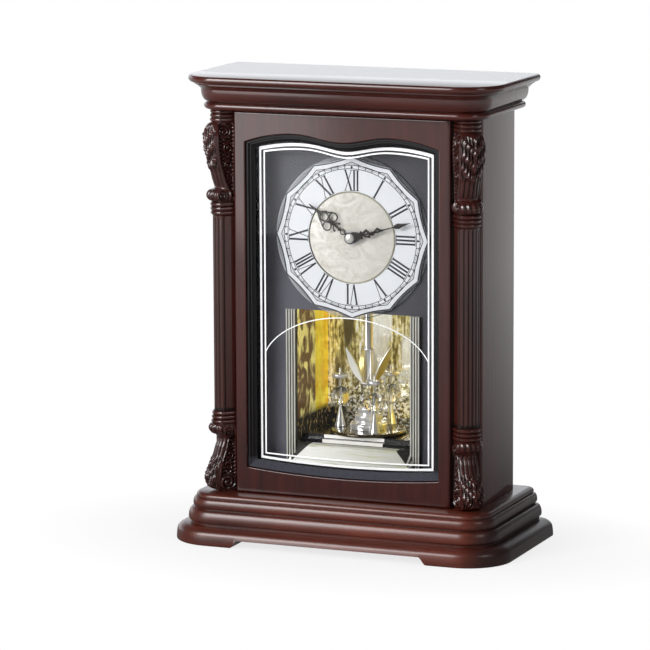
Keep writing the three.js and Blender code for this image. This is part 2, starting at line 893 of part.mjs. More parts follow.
function maskPanel() {
  const half = bodyInner - fitGap;
  const shape = new THREE.Shape([
    new THREE.Vector2(-half, bodyFoot),
    new THREE.Vector2(half, bodyFoot),
    new THREE.Vector2(half, bodyTop),
    new THREE.Vector2(-half, bodyTop),
  ]);
  shape.holes.push(new THREE.Path([
    new THREE.Vector2(-chamberHalfWidth, openingSill),
    new THREE.Vector2(chamberHalfWidth, openingSill),
    new THREE.Vector2(chamberHalfWidth, openingTop),
    new THREE.Vector2(-chamberHalfWidth, openingTop),
  ]));
  shape.holes.push(new THREE.Path().absarc(0, dialCentreZ, stemRadius + fitGap, 0, 2 * Math.PI));
  return plate(shape, maskFront, maskThickness);
}

// Reeded pillar seen from above, standing in front of the mask at one side of the opening
function trimPillar(side) {
  const inner = chamberHalfWidth - pillarDepth / 4;
  const back = maskFront - fitGap;
  const reed = pillarWidth / pillarReeds;
  const points = [[inner, back], [inner, back - pillarDepth / 2]];
  for (let i = 0; i < pillarReeds; i += 1) {
    const start = inner + i * reed;
    points.push([start + reed * 0.2, back - pillarDepth * 0.9], [start + reed * 0.5, back - pillarDepth]);
    points.push([start + reed * 0.8, back - pillarDepth * 0.9], [start + reed, back - pillarDepth / 2]);
  }
  points.push([inner + pillarWidth, back]);
  const outline = points.map(([x, y]) => [side * x, y]);
  return prism(side > 0 ? outline : outline.reverse(), sillFoot, openingTop - sillFoot);
}

function trimSill() {
  const back = maskFront - fitGap;
  const ring = (frontHalf, front, backHalf, z) => [
    [-frontHalf, front, z],
    [frontHalf, front, z],
    [backHalf, back, z],
    [-backHalf, back, z],
  ];
  const wide = chamberHalfWidth + pillarWidth / 2;
  return loft([
    ring(sillLowHalfWidth, sillFront, wide, sillFoot),
    ring(sillLowHalfWidth, sillFront, wide, sillFoot + sillEdge),
    ring(sillHighHalfWidth, sillFront + sillLean, chamberHalfWidth, sillTop),
    ring(sillHighHalfWidth, sillFront + sillLean + sillEdge, chamberHalfWidth - sillEdge, sillTop + sillEdge),
  ]);
}

function chamberTrim() {
  return join(trimPillar(-1), trimPillar(1), trimSill());
}

// Mirror: left wall, back and right wall of the chamber, folded from one sheet
function chamberMirror() {
  const outer = chamberHalfWidth + mirrorThickness;
  const front = maskBack + fitGap;
  const back = chamberBack + mirrorThickness;
  return prism([
    [-outer, front],
    [-chamberHalfWidth, front],
    [-chamberHalfWidth, chamberBack],
    [chamberHalfWidth, chamberBack],
    [chamberHalfWidth, front],
    [outer, front],
    [outer, back],
    [-outer, back],
  ], mirrorFoot, chamberTop - glueGap - mirrorFoot);
}

function roundHole(radius, y, foot, top) {
  const hole = new THREE.CylinderGeometry(radius, radius, top - foot, smallSides);
  return hole.rotateX(Math.PI / 2).translate(0, y, (foot + top) / 2);
}

function chamberCeiling() {
  const outer = chamberHalfWidth + mirrorThickness;
  const slab = boxBetween(
    [-outer, maskBack + fitGap, chamberTop],
    [outer, chamberBack + mirrorThickness, chamberTop + ceilingThickness],
  );
  return cut(slab, roundHole(topPinRadius + fitGap, carouselY, chamberTop - overrun, chamberTop + 2 * overrun));
}

// Floor of the chamber, with two steps along its front edge
function chamberStage() {
  const half = chamberHalfWidth - fitGap;
  const front = maskBack + fitGap;
  const foot = stageTop - stageThickness;
  const back = chamberBack - fitGap;
  const profile = new THREE.Shape([
    new THREE.Vector2(front, foot),
    new THREE.Vector2(back, foot),
    new THREE.Vector2(back, stageTop),
    new THREE.Vector2(front + 2 * stageStepDepth, stageTop),
    new THREE.Vector2(front + 2 * stageStepDepth, stageTop - stageStepHeight),
    new THREE.Vector2(front + stageStepDepth, stageTop - stageStepHeight),
    new THREE.Vector2(front + stageStepDepth, stageTop - 2 * stageStepHeight),
    new THREE.Vector2(front, stageTop - 2 * stageStepHeight),
  ]);
  const block = new THREE.ExtrudeGeometry(profile, { depth: 2 * half, bevelEnabled: false });
  block.rotateX(Math.PI / 2).rotateZ(Math.PI / 2).translate(-half, 0, 0);
  const hole = roundHole(rotorShaftRadius + shaftClearance, carouselY, foot - overrun, stageTop + overrun);
  return cut(orient(weld(block)), hole);
}

function pendulumDrive() {
  const top = stageTop - stageThickness - fitGap;
  const block = boxBetween(
    [-driveWidth / 2, carouselY - driveDepth / 2, bodyFoot],
    [driveWidth / 2, carouselY + driveDepth / 2, top],
  );
  const socket = roundHole(rotorShaftRadius + shaftClearance, carouselY, top - driveSocketDepth, top + overrun);
  return cut(block, socket);
}

// Twelve-pointed dial: straight radii to the points and a shallow hollow between each two
function dialOutline(radius) {
  const steps = 3;
  const points = [];
  for (let i = 0; i < dialPoints * steps; i += 1) {
    const angle = (i / (dialPoints * steps)) * 2 * Math.PI;
    const within = (i % steps) / steps;
    const half = Math.PI / dialPoints;
    const chord = radius * Math.cos(half) / Math.cos((within * 2 - 1) * half);
    const hollow = dialHollow * Math.sin(Math.PI * within);
    points.push(new THREE.Vector2((chord - hollow) * Math.sin(angle), (chord - hollow) * Math.cos(angle)));
  }
  return points.reverse();
}

function dialPlate() {
  const shape = new THREE.Shape(dialOutline(dialRadius));
  shape.holes.push(new THREE.Path().absarc(0, 0, stemRadius + fitGap, 0, 2 * Math.PI));
  const front = dialBack - dialBackingThickness - dialThickness - glueGap;
  return plate(shape, front, dialThickness).translate(0, 0, dialCentreZ);
}

function flatRing(inner, outer, front, back, sides = fineSides) {
  const geometry = turnedAlongY([[inner, front], [outer, front], [outer, back], [inner, back], [inner, front]], sides);
  return geometry.translate(0, 0, dialCentreZ);
}

function dialBacking() {
  return flatRing(stemRadius + fitGap, dialBackingRadius, dialBack - dialBackingThickness, dialBack, 36);
}

function pearlDisc() {
  const back = dialBack - dialBackingThickness - dialThickness - 2 * glueGap;
  return flatRing(stemRadius + fitGap, pearlRadius, back - pearlThickness, back);
}

function pearlRing() {
  const back = dialBack - dialBackingThickness - dialThickness - 2 * glueGap;
  return flatRing(pearlRadius + glueGap, pearlRadius + pearlRingWidth, back - pearlRingThickness, back);
}

// Threaded stem of the movement with its nut in front of the dial
function centreStem() {
  const nutBack = stemFront + nutHeight;
  const geometry = turnedAlongY([
    [stemBore, stemFront - fitGap],
    [stemRadius, stemFront - fitGap],
    [stemRadius, stemFront],
    [nutRadius, stemFront],
    [nutRadius, nutBack],
    [stemRadius, nutBack],
    [stemRadius, maskBack],
    [stemBore, maskBack],
    [stemBore, stemFront - fitGap],
  ], rodSides);
  return geometry.translate(0, 0, dialCentreZ);
}

// Ring of a hand, flat in the XZ plane, at a place along and across the hand
function handRing(across, along, outer, inner, front) {
  const shape = new THREE.Shape().absarc(across, along, outer, 0, 2 * Math.PI);
  shape.holes.push(new THREE.Path().absarc(across, along, inner, 0, 2 * Math.PI));
  return plate(shape, front, handThickness, { curveSegments: 4 });
}

// Straight or tapered bar of a hand: [along, half width] pairs from the centre outwards
function handBar(pairs, front) {
  const right = pairs.map(([along, half]) => new THREE.Vector2(half, along));
  const left = pairs.map(([along, half]) => new THREE.Vector2(-half, along)).reverse();
  return plate(new THREE.Shape([...right, ...left]), front, handThickness);
}

function handSleeve(inner, outer, front, back) {
  return turnedAlongY([[inner, front], [outer, front], [outer, back], [inner, back], [inner, front]], smallSides);
}

function hourHand() {
  const front = stemFront - fitGap - handSpacing;
  const tip = hourHandLength;
  const ring = tip * 0.085;
  const web = ring * 0.62;
  const bar = tip * 0.022;
  const blade = join(
    handBar([[hourSleeveRadius, bar * 1.3], [tip * 0.17, bar], [tip * 0.5, bar]], front),
    handRing(0, tip * 0.2, ring * 0.62, ring * 0.3, front),
    handRing(tip * 0.095, tip * 0.49, ring, web, front),
    handRing(-tip * 0.095, tip * 0.49, ring, web, front),
    handRing(0, tip * 0.62, ring, web, front),
    handBar([[tip * 0.69, bar], [tip * 0.74, bar * 1.7], [tip * 0.8, bar], [tip, bar / 3]], front),
    handSleeve(hourSleeveBore, hourSleeveRadius + ring / 3, front, front + handThickness),
    handSleeve(hourSleeveBore, hourSleeveRadius, front, maskBack),
  );
  return blade.rotateY(THREE.MathUtils.degToRad(hourHandTurnDeg)).translate(0, 0, dialCentreZ);
}

function minuteHand() {
  const front = stemFront - fitGap - 2 * handSpacing;
  const tip = minuteHandLength;
  const hub = hourSleeveRadius + tip * 0.02;
  const bar = tip * 0.017;
  const ring = tip * 0.04;
  const arbor = [
    [0, front],
    [hub, front],
    [hub, front + handThickness],
    [minuteArborRadius, front + handThickness],
    [minuteArborRadius, maskBack],
    [0, maskBack],
  ];
  const blade = join(
    turnedAlongY(arbor, smallSides),
    handBar([[minuteArborRadius, bar * 1.4], [tip * 0.72, bar * 0.8], [tip * 0.76, bar * 1.7], [tip, bar / 3]], front),
    handRing(ring * 0.35, tip * 0.19, ring, ring * 0.55, front),
    handRing(-ring * 0.35, tip * 0.28, ring * 0.9, ring * 0.5, front),
    handRing(ring * 0.3, tip * 0.37, ring * 0.7, ring * 0.35, front),
    handRing(0, tip * 0.56, ring * 0.5, ring * 0.2, front),
  );
  return blade.rotateY(THREE.MathUtils.degToRad(minuteHandTurnDeg)).translate(0, 0, dialCentreZ);
}

function handCap() {
  const back = stemFront - fitGap - 2 * handSpacing - glueGap;
  const profile = [[0, back - handCapHeight]];
  for (let i = 1; i <= 4; i += 1) {
    const angle = (i / 4) * Math.PI / 2;
    profile.push([handCapRadius * Math.sin(angle), back - handCapHeight * Math.cos(angle)]);
  }
  profile.push([0, back]);
  return turnedAlongY(profile, smallSides).translate(0, 0, dialCentreZ);
}

function movementCase() {
  const half = movementSize / 2;
  const shape = new THREE.Shape();
  const corner = movementCorner;
  shape.moveTo(-half + corner, -half);
  shape.lineTo(half - corner, -half);
  shape.absarc(half - corner, -half + corner, corner, -Math.PI / 2, 0);
  shape.absarc(half - corner, half - corner, corner, 0, Math.PI / 2);
  shape.absarc(-half + corner, half - corner, corner, Math.PI / 2, Math.PI);
  shape.absarc(-half + corner, -half + corner, corner, Math.PI, 1.5 * Math.PI);
  const front = maskBack + fitGap;
  const back = front + movementDepth;
  const block = plate(shape, front, movementDepth, { curveSegments: 3 });
  const bayHalf = aaLength / 2 + aaTipLength + fitGap;
  const bayTop = half - movementWall;
  const bay = boxBetween(
    [-bayHalf, front + movementWall, bayTop - 2 * aaRadius - fitGap],
    [bayHalf, back + overrun, bayTop],
  );
  const bore = new THREE.CylinderGeometry(hourSleeveRadius + fitGap, hourSleeveRadius + fitGap, 2 * overrun, smallSides);
  const knobBore = new THREE.CylinderGeometry(
    knobArborRadius + fitGap,
    knobArborRadius + fitGap,
    2 * (knobArborDepth + fitGap),
    smallSides,
  );
  knobBore.translate(0, back, -knobOffset);
  return cut(block, bay, bore.translate(0, front, 0), knobBore).translate(0, 0, dialCentreZ);
}

// Round cell lying along X, with its small tip at +X
function cell(radius, length, tipRadius, tipLength) {
  const half = length / 2;
  const arris = radius * 0.06;
  const profile = [
    [0, -half],
    [radius - arris, -half],
    [radius, -half + arris],
    [radius, half - arris],
    [radius - arris, half],
    [tipRadius, half],
    [tipRadius, half + tipLength],
    [0, half + tipLength],
  ];
  return orient(weld(turned(profile, smallSides).rotateY(Math.PI / 2)));
}

function aaCell() {
  const y = maskBack + fitGap + movementWall + fitGap / 2 + aaRadius;
  const z = dialCentreZ + movementSize / 2 - movementWall - fitGap / 2 - aaRadius;
  return cell(aaRadius, aaLength, aaTipRadius, aaTipLength).translate(-aaTipLength / 2, y, z);
}

function setKnob() {
  const back = maskBack + fitGap + movementDepth;
  const outline = [];
  const steps = knobFlutes * 4;
  for (let i = 0; i < steps; i += 1) {
    const angle = (i / steps) * 2 * Math.PI;
    const radius = knobRadius - (knobFluteDepth / 2) * (1 + Math.cos(knobFlutes * angle));
    outline.push(new THREE.Vector2(radius * Math.cos(angle), radius * Math.sin(angle)));
  }
  const head = plate(new THREE.Shape(outline), back + fitGap, knobHeight);
  const arbor = turnedAlongY([
    [0, back - knobArborDepth],
    [knobArborRadius, back - knobArborDepth],
    [knobArborRadius, back + knobHeight / 2],
    [0, back + knobHeight / 2],
  ], smallSides);
  return join(head, arbor).translate(0, 0, dialCentreZ - knobOffset);
}

// Holder for two cells end to end: a floor, two ends and two low sides
function cellHolder() {
  const inner = cCellLength + cTipLength + cellGap + cellGap;
  const floor = chamberTop + ceilingThickness + fitGap;
  const top = floor + holderWall + holderSide;
  const midY = holderMiddle();
  const outerY = cCellRadius + fitGap + holderWall;
  const block = boxBetween([-inner - holderWall, midY - outerY, floor], [inner + holderWall, midY + outerY, top]);
  const bay = boxBetween(
    [-inner, midY - cCellRadius - fitGap, floor + holderWall],
    [inner, midY + cCellRadius + fitGap, top + overrun],
  );
  return cut(block, bay);
}

function holderMiddle() {
  return bodyBack - cCellRadius - fitGap - holderWall;
}

function cCell(side) {
  const z = chamberTop + ceilingThickness + fitGap + holderWall + fitGap / 2 + cCellRadius;
  const x = side > 0 ? cellGap / 2 + cCellLength / 2 : -cellGap / 2 - cTipLength - cCellLength / 2;
  return cell(cCellRadius, cCellLength, cTipRadius, cTipLength).translate(x, holderMiddle(), z);
}

// Rotor disc of the carousel with the drive shaft below it
function rotorDisc() {
  const foot = stageTop + shaftClearance;
  const top = foot + rotorDiscThickness;
  const edge = rotorDiscThickness / 3;
  return turned([
    [0, foot - rotorShaftLength],
    [rotorShaftRadius, foot - rotorShaftLength],
    [rotorShaftRadius, foot],
    [rotorDiscRadius - edge, foot],
    [rotorDiscRadius, foot + edge],
    [rotorDiscRadius, top - edge],
    [rotorDiscRadius - edge, top],
    [0, top],
  ]);
}

function rotorTop() {
  return stageTop + shaftClearance + rotorDiscThickness + glueGap;
}

function pedestal() {
  const foot = rotorTop();
  const rows = [
    [1, 0],
    [1, 0.22],
    [0.92, 0.28],
    [0.62, 0.33],
    [0.74, 0.38],
    [0.74, 0.6],
    [0.62, 0.66],
    [0.5, 0.7],
    [0.59, 0.74],
    [0.6, 0.94],
    [0.52, 1],
  ];
  const rim = rows.map(([radiusShare, heightShare]) =>
    [pedestalRadius * radiusShare, foot + pedestalHeight * heightShare]);
  return turned([[0, foot], ...rim, [0, foot + pedestalHeight]], smallSides);
}

function crystalColumn() {
  const foot = rotorTop() + pedestalHeight + glueGap;
  const top = foot + crystalColumnHeight;
  return turned([[0, foot], [crystalColumnRadius, foot], [crystalColumnRadius, top], [0, top]], crystalColumnFacets);
}

function cupFoot() {
  return rotorTop() + pedestalHeight + crystalColumnHeight + 2 * glueGap;
}

// Chrome tube with the petal cup at its foot, a collar and the top pin
function rotorTube() {
  const foot = cupFoot();
  const cupTop = foot + cupHeight;
  return turned([
    [0, foot],
    [cupRadius * 0.8, foot],
    [cupRadius, foot + cupHeight * 0.5],
    [cupRadius, cupTop],
    [tubeRadius, cupTop],
    [tubeRadius, collarZ - collarHeight / 2],
    [collarRadius, collarZ - collarHeight / 4],
    [collarRadius, collarZ + collarHeight / 4],
    [tubeRadius, collarZ + collarHeight / 2],
    [tubeRadius, tubeTop],
    [topPinRadius, tubeTop],
    [topPinRadius, chamberTop + ceilingThickness / 2],
    [0, chamberTop + ceilingThickness / 2],
  ], smallSides);
}

// Cone, rod, cap and finial of one pendant; the rod passes through the ball's bore
function pendantRod() {
  const foot = rotorTop();
  const capFoot = pendantCapZ;
  const capTop = capFoot + pendantCapThickness;
  return turned([
    [0, foot],
    [pendantConeRadius, foot],
    [pendantConeRadius, foot + pendantConeHeight * 0.08],
    [pendantRodRadius, foot + pendantConeHeight],
    [pendantRodRadius, capFoot],
    [pendantCapRadius * 0.9, capFoot],
    [pendantCapRadius, capFoot + pendantCapThickness * 0.3],
    [pendantCapRadius, capTop - pendantCapThickness * 0.3],
    [pendantCapRadius * 0.9, capTop],
    [pendantRodRadius, capTop],
    [pendantRodRadius, pendantTop],
    [0, pendantTop + pendantRodRadius],
  ], rodSides);
}

// Cut-glass ball: flat facets in bands, with a bore for the rod
function crystalBall() {
  const bands = 7;
  const start = Math.asin(ballBore / ballRadius);
  const profile = [];
  for (let i = 0; i <= bands; i += 1) {
    const angle = start + (i / bands) * (Math.PI - 2 * start);
    profile.push([ballRadius * Math.sin(angle), ballZ - ballRadius * Math.cos(angle)]);
  }
  profile.push(profile[0]);
  return turned(profile, 12);
}

// Petal: a pointed leaf, upright in its own frame and leaned outwards by its group
function petal() {
  const shape = new THREE.Shape();
  const foot = petalHalfWidth / 4;
  shape.moveTo(-foot, 0);
  shape.lineTo(foot, 0);
  shape.bezierCurveTo(
    petalHalfWidth * 1.3, petalLength * 0.25,
    petalHalfWidth * 1.3, petalLength * 0.6,
    0, petalLength,
  );
  shape.bezierCurveTo(
    -petalHalfWidth * 1.3, petalLength * 0.6,
    -petalHalfWidth * 1.3, petalLength * 0.25,
    -foot, 0,
  );
  return plate(shape, -petalThickness, petalThickness, { curveSegments: 7 });
}

function addCarousel(chrome, crystal, gold, disc) {
  const carousel = new THREE.Group();
  carousel.position.y = carouselY;
  addPiece(carousel, 'rotor_disc', rotorDisc(), disc);
  addPiece(carousel, 'rotor_pedestal', pedestal(), chrome);
  addPiece(carousel, 'crystal_column', crystalColumn(), crystal);
  addPiece(carousel, 'rotor_tube', rotorTube(), chrome);
  for (let i = 0; i < pendantCount; i += 1) {
    const turn = pendantTurnDeg + i * 360 / pendantCount;
    const angle = THREE.MathUtils.degToRad(turn);
    const pendant = new THREE.Group();
    pendant.position.set(pendantCircle * Math.cos(angle), pendantCircle * Math.sin(angle), 0);
    pendant.rotation.z = angle;
    addPiece(pendant, `pendant_rod_${i + 1}`, pendantRod(), chrome);
    addPiece(pendant, `crystal_ball_${i + 1}`, crystalBall(), crystal);
    carousel.add(pendant);

    const petalAngle = THREE.MathUtils.degToRad(turn + petalTurnDeg);
    const stalk = new THREE.Group();
    const rise = cupFoot() + cupHeight + fitGap + petalThickness * Math.sin(THREE.MathUtils.degToRad(petalLeanDeg));
    stalk.position.set(petalFootRadius * Math.cos(petalAngle), petalFootRadius * Math.sin(petalAngle), rise);
    stalk.rotation.z = petalAngle + Math.PI / 2;
    const leaf = addPiece(stalk, `gold_petal_${i + 1}`, petal(), gold);
    leaf.rotation.x = THREE.MathUtils.degToRad(petalLeanDeg);
    carousel.add(stalk);
  }
  group.add(carousel);
}

// Rear cover: a flanged tray over the back of the case, with a doorway, a speaker grille and a
// switch slot
function rearCover() {
  const foot = bodyFoot + coverMargin;
  const top = bodyTop - coverMargin;
  const half = coverHalfWidth;
  const stepHalf = half - coverStep;
  const flangeBack = bodyBack + glueGap + coverFlange;
  const flange = boxBetween([-half, bodyBack + glueGap, foot], [half, flangeBack, top]);
  const box = boxBetween([-stepHalf, bodyBack + glueGap, foot + coverStep], [stepHalf, coverBack, top - coverStep]);
  const hollow = boxBetween(
    [-stepHalf + coverWall, bodyBack - overrun, foot + coverStep + coverWall],
    [stepHalf - coverWall, coverBack - coverWall, top - coverStep - coverWall],
  );
  const doorway = boxBetween(
    [-doorHalfWidth - doorGap, coverBack - overrun, doorFoot - doorGap],
    [doorHalfWidth + doorGap, coverBack + overrun, doorTop + doorGap],
  );
  const slots = [];
  for (let i = 0; i < grilleSlots; i += 1) {
    const z = speakerZ + (i - (grilleSlots - 1) / 2) * grillePitch;
    slots.push(boxBetween(
      [speakerX - grilleSlotLength / 2, coverBack - overrun, z - grilleSlotWidth / 2],
      [speakerX + grilleSlotLength / 2, coverBack + overrun, z + grilleSlotWidth / 2],
    ));
  }
  const slotHalf = (switchStemHeight + fitGap) / 2;
  const switchSlot = boxBetween(
    [switchX - switchStemWidth / 2 - fitGap, coverBack - overrun, switchZ - slotHalf],
    [switchX + switchStemWidth / 2 + switchTravel + fitGap, coverBack + overrun, switchZ + slotHalf],
  );
  const shell = cut(join(flange, box), hollow, doorway, switchSlot, ...slots);
  return join(shell, coverKnuckle(-1), coverKnuckle(1));
}

function hingeAxisY() {
  return coverBack + hingeRadius + fitGap;
}

function hingeAxisZ() {
  return doorFoot - hingeDrop;
}

// Round bore for the hinge pin, along X
function pinBore(low, high) {
  const radius = hingePinRadius + hingePinClearance;
  const bore = new THREE.CylinderGeometry(radius, radius, high - low, 10);
  return bore.rotateZ(Math.PI / 2).translate((low + high) / 2, hingeAxisY(), hingeAxisZ());
}

// Knuckle about the hinge axis, carried by webs given as [y, z] low and high corners
function knuckle(low, high, webs) {
  const barrel = new THREE.CylinderGeometry(hingeRadius, hingeRadius, high - low, rodSides);
  barrel.rotateZ(Math.PI / 2).translate((low + high) / 2, hingeAxisY(), hingeAxisZ());
  const blocks = webs.map(([from, to]) => boxBetween([low, ...from], [high, ...to]));
  return cut(join(barrel, ...blocks), pinBore(low - overrun, high + overrun));
}

// Outboard knuckle on the cover, below the doorway
function coverKnuckle(side) {
  const near = hingeKnuckleX + fitGap;
  const far = hingeKnuckleX + hingeKnuckleLength;
  const [low, high] = side > 0 ? [near, far] : [-far, -near];
  const foot = hingeAxisZ() - 2 * hingeRadius;
  const web = [[coverBack - coverWall / 2, foot], [hingeAxisY(), hingeAxisZ() - hingePinRadius]];
  return knuckle(low, high, [web]);
}

// Inboard knuckle on the door, with an arm that stands clear of the cover's face
function doorKnuckle(side) {
  const near = hingeKnuckleX - fitGap;
  const [low, high] = side > 0 ? [near - hingeKnuckleLength, near] : [-near, hingeKnuckleLength - near];
  const top = doorFoot + 2 * hingeRadius;
  const arm = [[coverBack + fitGap, hingeAxisZ() + hingePinRadius], [hingeAxisY(), top]];
  const root = [[coverBack - doorThickness / 2, doorFoot], [hingeAxisY(), top]];
  return knuckle(low, high, [arm, root]);
}

function accessDoor() {
  const panel = boxBetween(
    [-doorHalfWidth, coverBack - doorThickness, doorFoot],
    [doorHalfWidth, coverBack, doorTop],
  );
  const tab = boxBetween(
    [-knobRadius, coverBack - doorThickness / 2, doorTop - overrun],
    [knobRadius, coverBack + fitGap * 4, doorTop - overrun / 3],
  );
  return join(panel, tab, doorKnuckle(-1), doorKnuckle(1));
}

function hingePin(side) {
  const length = 2 * hingeKnuckleLength;
  const pin = new THREE.CylinderGeometry(hingePinRadius, hingePinRadius, length, 10);
  return pin.rotateZ(Math.PI / 2).translate(side * hingeKnuckleX, hingeAxisY(), hingeAxisZ());
}

// Loudspeaker of the chime, facing the grille: cone, basket and magnet in one turned body
function speaker() {
  const front = coverBack - coverWall - fitGap;
  const geometry = turnedAlongY([
    [0, front - speakerDepth],
    [speakerMagnetRadius, front - speakerDepth],
    [speakerMagnetRadius, front - speakerDepth * 0.6],
    [speakerRadius * 0.6, front - speakerDepth * 0.5],
    [speakerRadius * 0.88, front - speakerDepth * 0.22],
    [speakerRadius, front - speakerDepth * 0.2],
    [speakerRadius, front],
    [speakerRadius * 0.88, front],
    [speakerRadius * 0.82, front - speakerDepth * 0.12],
    [speakerRadius * 0.3, front - speakerDepth * 0.38],
    [0, front - speakerDepth * 0.3],
  ], rodSides);
  return geometry.translate(speakerX, 0, speakerZ);
}

function soundSwitch() {
  const inner = coverBack - coverWall - fitGap;
  const centre = switchX;
  const slide = boxBetween(
    [centre - switchPlateLength / 2, inner - switchPlateThickness, switchZ - switchPlateHeight / 2],
    [centre + switchPlateLength / 2, inner, switchZ + switchPlateHeight / 2],
  );
  const nub = boxBetween(
    [centre - switchStemWidth / 2, inner - switchPlateThickness / 2, switchZ - switchStemHeight / 2],
    [centre + switchStemWidth / 2, coverBack + switchNubHeight, switchZ + switchStemHeight / 2],
  );
  return join(slide, nub);
}

const lacquer = finish(0x4a1d18, 0.18, 0);
const blackGloss = finish(0x0b0b0c, 0.12, 0);
const clearGlass = finish(0xdfe8ea, 0.05, 0);
const greyPanel = finish(0x55555e, 0.45, 0);
const creamMetal = finish(0xe9e2c4, 0.2, 0.6);
const goldMirror = finish(0xc9a227, 0.08, 1);
const chrome = finish(0xd8dadc, 0.08, 1);
const crystal = finish(0xf2f6f7, 0.03, 0);
const dialWhite = finish(0xf1f2f4, 0.4, 0);
const pearl = finish(0xe6dfcf, 0.35, 0);
const goldTrim = finish(0xb9963f, 0.25, 1);
const handBlack = finish(0x2a2119, 0.35, 0.3);
const blackPlastic = finish(0x17171a, 0.5, 0);
const cellJacket = finish(0x3a5f8a, 0.35, 0.2);
const steel = finish(0x9a9da1, 0.3, 1);
const brownDisc = finish(0x3b2a16, 0.15, 0.5);

addPiece(group, 'base_bottom_board', bottomBoard(), lacquer);
addPiece(group, 'base_middle_moulding', middleMoulding(), lacquer);
addPiece(group, 'base_top_moulding', topMoulding(), lacquer);
addPiece(group, 'left_side_panel', sidePanel(-1), lacquer);
addPiece(group, 'right_side_panel', sidePanel(1), lacquer);
addPiece(group, 'left_corner_post', cornerPost(-1), lacquer);
addPiece(group, 'right_corner_post', cornerPost(1), lacquer);
addPiece(group, 'cornice_moulding', corniceMoulding(), lacquer);
addPiece(group, 'top_board', crownBoard(), lacquer);
addColumn(-1, 'left', lacquer);
addColumn(1, 'right', lacquer);
addPiece(group, 'front_frame', frontFrame(), lacquer);
addPiece(group, 'glass_bezel', glassBezel(), blackGloss);
addPiece(group, 'front_glass', frontGlass(), clearGlass);
addPiece(group, 'glass_retainer', glassRetainer(), blackPlastic);
addPiece(group, 'mask_panel', maskPanel(), greyPanel);
addPiece(group, 'dial_backing', dialBacking(), clearGlass);
addPiece(group, 'dial_plate', dialPlate(), dialWhite);
addPiece(group, 'pearl_disc', pearlDisc(), pearl);
addPiece(group, 'pearl_ring', pearlRing(), goldTrim);
addPiece(group, 'centre_stem', centreStem(), steel);
addPiece(group, 'hour_hand', hourHand(), handBlack);
addPiece(group, 'minute_hand', minuteHand(), handBlack);
addPiece(group, 'hand_cap', handCap(), chrome);
addPiece(group, 'movement_case', movementCase(), blackPlastic);
addPiece(group, 'aa_cell', aaCell(), cellJacket);
addPiece(group, 'set_knob', setKnob(), blackPlastic);
addPiece(group, 'chamber_trim', chamberTrim(), creamMetal);
addPiece(group, 'chamber_mirror', chamberMirror(), goldMirror);
addPiece(group, 'chamber_ceiling', chamberCeiling(), blackPlastic);
addPiece(group, 'chamber_stage', chamberStage(), blackGloss);
addPiece(group, 'pendulum_drive', pendulumDrive(), blackPlastic);
addCarousel(chrome, crystal, goldMirror, brownDisc);
addPiece(group, 'cell_holder', cellHolder(), blackPlastic);
addPiece(group, 'c_cell_left', cCell(-1), cellJacket);
addPiece(group, 'c_cell_right', cCell(1), cellJacket);
addPiece(group, 'rear_cover', rearCover(), blackPlastic);
addPiece(group, 'access_door', accessDoor(), blackPlastic);
addPiece(group, 'left_hinge_pin', hingePin(-1), steel);
addPiece(group, 'right_hinge_pin', hingePin(1), steel);
addPiece(group, 'speaker', speaker(), blackPlastic);
addPiece(group, 'sound_switch', soundSwitch(), blackPlastic);

export default group;
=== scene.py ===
# %% [markdown]
# # A pendulum desk clock, dressed piece by piece
# The clock is a lacquered wooden case with turned and carved corners. Behind its glass are a
# white dial and a gold-mirrored chamber where crystal balls turn. The solids arrive ready made
# and stay fixed; each cell here gives one of them a better surface or a finish. Lengths are in
# mm, the front faces -y, and `CENTRE` is the height of the dial's centre.

# %% Load the solids
import math
import bmesh
import bpy
import numpy as np
from mathutils import Matrix, Vector


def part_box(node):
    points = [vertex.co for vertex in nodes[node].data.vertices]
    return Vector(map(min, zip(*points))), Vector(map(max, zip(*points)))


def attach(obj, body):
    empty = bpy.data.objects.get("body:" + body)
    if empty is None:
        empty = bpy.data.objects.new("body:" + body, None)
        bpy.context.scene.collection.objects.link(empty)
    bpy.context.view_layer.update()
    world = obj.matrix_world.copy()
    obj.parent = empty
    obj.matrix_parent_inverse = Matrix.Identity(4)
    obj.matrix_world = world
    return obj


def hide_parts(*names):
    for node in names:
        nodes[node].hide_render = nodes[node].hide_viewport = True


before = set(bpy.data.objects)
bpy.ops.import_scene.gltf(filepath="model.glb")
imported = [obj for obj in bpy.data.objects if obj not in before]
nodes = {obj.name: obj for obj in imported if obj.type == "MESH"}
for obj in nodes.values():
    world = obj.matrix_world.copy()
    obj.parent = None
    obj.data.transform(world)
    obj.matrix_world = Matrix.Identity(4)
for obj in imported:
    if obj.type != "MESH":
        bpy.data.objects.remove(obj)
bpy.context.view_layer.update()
MM = 0.001
CENTRE = 223.99

# %% [markdown]
# The camera stands 2.9 m away, a little to the right and above, with a long lens. A long lens
# from far off keeps the case's upright edges nearly parallel, as a product picture has them.

# %% Camera
CAMERA = np.array([1040.1, -2604.9, 640.0])
TARGET = np.array([-26.0, 0.0, 156.8])
ROLL = math.radians(-0.24)
FOCAL_PIXELS = 3933.2
PICTURE_WIDTH = 650
back = (CAMERA - TARGET) / np.linalg.norm(CAMERA - TARGET)
right = np.cross([0.0, 0.0, 1.0], back)
right /= np.linalg.norm(right)
up = np.cross(back, right)
right, up = (math.cos(ROLL) * right + math.sin(ROLL) * up,
             -math.sin(ROLL) * right + math.cos(ROLL) * up)
lens = bpy.data.cameras.new("camera")
lens.sensor_width = 36.0
lens.lens = FOCAL_PIXELS * lens.sensor_width / PICTURE_WIDTH
lens.clip_start, lens.clip_end = 0.1, 100.0
camera = bpy.data.objects.new("camera", lens)
bpy.context.scene.collection.objects.link(camera)
turn = Matrix((right, up, back)).transposed().to_4x4()
camera.matrix_world = Matrix.Translation(Vector(CAMERA * MM)) @ turn
